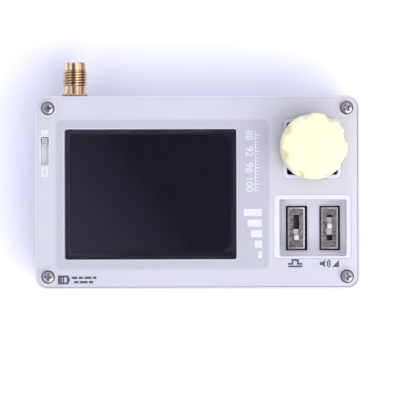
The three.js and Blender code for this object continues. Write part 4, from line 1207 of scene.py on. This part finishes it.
def corner_mark():
    """A small battery outline with rows of short dashes beside it."""
    x0, x1, y0, y1, line = -36.5, -33.7, -23.9, -21.6, 0.5
    pieces = [*outline(x0, x1, y0, y1, line), patch(x1, x1 + 0.3, y0 + 0.55, y1 - 0.55)]
    pieces += [patch(x, x + 0.45, y0 + 0.5, y1 - 0.5) for x in (x0 + 0.55, x0 + 1.2)]
    for row, (start, lengths) in enumerate([(-32.9, (1.5, 1.1, 1.9, 0.9)), (-32.3, (1.2, 2.0, 1.1))]):
        x, y = start, -22.2 - 1.15 * row
        for length in lengths:
            pieces.append(patch(x, x + length, y - 0.3, y + 0.3))
            x += length + 0.35
    return pieces


# ---- Stage, light and camera ----


def stage():
    half, z = 900, -0.1
    corners = [(-half, -half, z), (half, -half, z), (half, half, z), (-half, half, z)]
    floor = mesh_object("floor", corners, [(0, 1, 2, 3)])
    s = Surface("floor_paper")
    s.color(s.mix(s.ramp(s.noise(40, 3), 0.3, 0.7), (0.875, 0.875, 0.89), (0.86, 0.86, 0.88)))
    s.set(Roughness=0.75)
    floor.data.materials.append(s.material)


# The dark patch in the sky: its middle and its half widths, in directions of length 1.
PATCH_X = -0.17
PATCH_WIDE = 0.33
PATCH_LONG = 0.5
SKY_COLOR = (0.80, 0.81, 1.0, 1)
SKY_STRENGTH = 1.5


def sky():
    """Bluish light from all round, dim near the horizon, with a dark patch overhead."""
    world = bpy.data.worlds.new("studio")
    bpy.context.scene.world = world
    world.use_nodes = True
    n = Nodes(world.node_tree)
    split = n.node("ShaderNodeSeparateXYZ")
    n.link(n.node("ShaderNodeTexCoord").outputs["Generated"], split.inputs[0])
    across = n.math("DIVIDE", n.minus(split.outputs[0], PATCH_X), PATCH_WIDE)
    along = n.math("DIVIDE", split.outputs[1], PATCH_LONG)
    lit = n.ramp(n.length(across, along), 0.7, 1.2, 0.05, 1.0)
    band = n.ramp(split.outputs[2], 0.1, 0.55, 0.4, 1.0)
    band = n.times(band, n.ramp(split.outputs[0], -0.7, 0.7, 1.1, 0.92))
    background = world.node_tree.nodes["Background"]
    background.inputs["Color"].default_value = SKY_COLOR
    n.link(n.times(n.times(lit, band), SKY_STRENGTH), background.inputs["Strength"])


# The key light, in degrees, metres and watts.
KEY_ZENITH = 42
KEY_AZIMUTH = -44
KEY_DISTANCE = 1.0
KEY_SIZE = 0.95
KEY_POWER = 7.5
KEY_COLOR = (1.0, 0.985, 0.94)


def lighting():
    sky()
    tilt, turn = math.radians(KEY_ZENITH), math.radians(KEY_AZIMUTH)
    outwards = Vector((math.sin(tilt) * math.cos(turn), math.sin(tilt) * math.sin(turn), math.cos(tilt)))
    data = bpy.data.lights.new("key", "AREA")
    data.shape = "SQUARE"
    data.size = KEY_SIZE
    data.energy = KEY_POWER
    data.color = KEY_COLOR
    key = new_object("key", data)
    key.location = outwards * KEY_DISTANCE
    key.rotation_euler = (-outwards).to_track_quat("-Z", "Y").to_euler()
    bpy.context.scene.view_settings.view_transform = "Standard"


CAMERA_DISTANCE = 475.0
PIXELS_PER_MM = 3.83
FRAME_PIXELS = 400
SENSOR = 36.0
CAMERA_X = 0.65
CAMERA_Y = -1.97
CAMERA_ROLL = -0.15


def camera():
    data = bpy.data.cameras.new("camera")
    data.sensor_width = SENSOR
    data.lens = SENSOR * PIXELS_PER_MM * CAMERA_DISTANCE / FRAME_PIXELS
    data.clip_start = 0.01
    obj = new_object("camera", data)
    obj.location = Vector((CAMERA_X, CAMERA_Y, PANEL.z1 + CAMERA_DISTANCE)) * MM
    obj.rotation_euler = (0, 0, math.radians(CAMERA_ROLL))
    bpy.context.scene.camera = obj


# ---- Assembly ----

camera()
dress_cad_nodes()
place(rear_cover(), "case", "case_white", "rear_cover")
place(front_frame(), "case", "case_white", "front_frame")
place(front_panel(), "case", "frosted_panel", "front_panel")
for index, screw_turn in enumerate(SCREW_TURNS):
    node = "front_screw_" + str(index + 1)
    place(screw(node, screw_turn), "case", "screw_steel", node)
display_pieces()
encoder_pieces()
place(tuning_knob(), "tuning_knob", "knob_cream", "tuning_knob")
for pot in POTS:
    slide_control(pot)
power_switch()
antenna_socket()
ports()
speaker()
marks()
stage()
lighting()
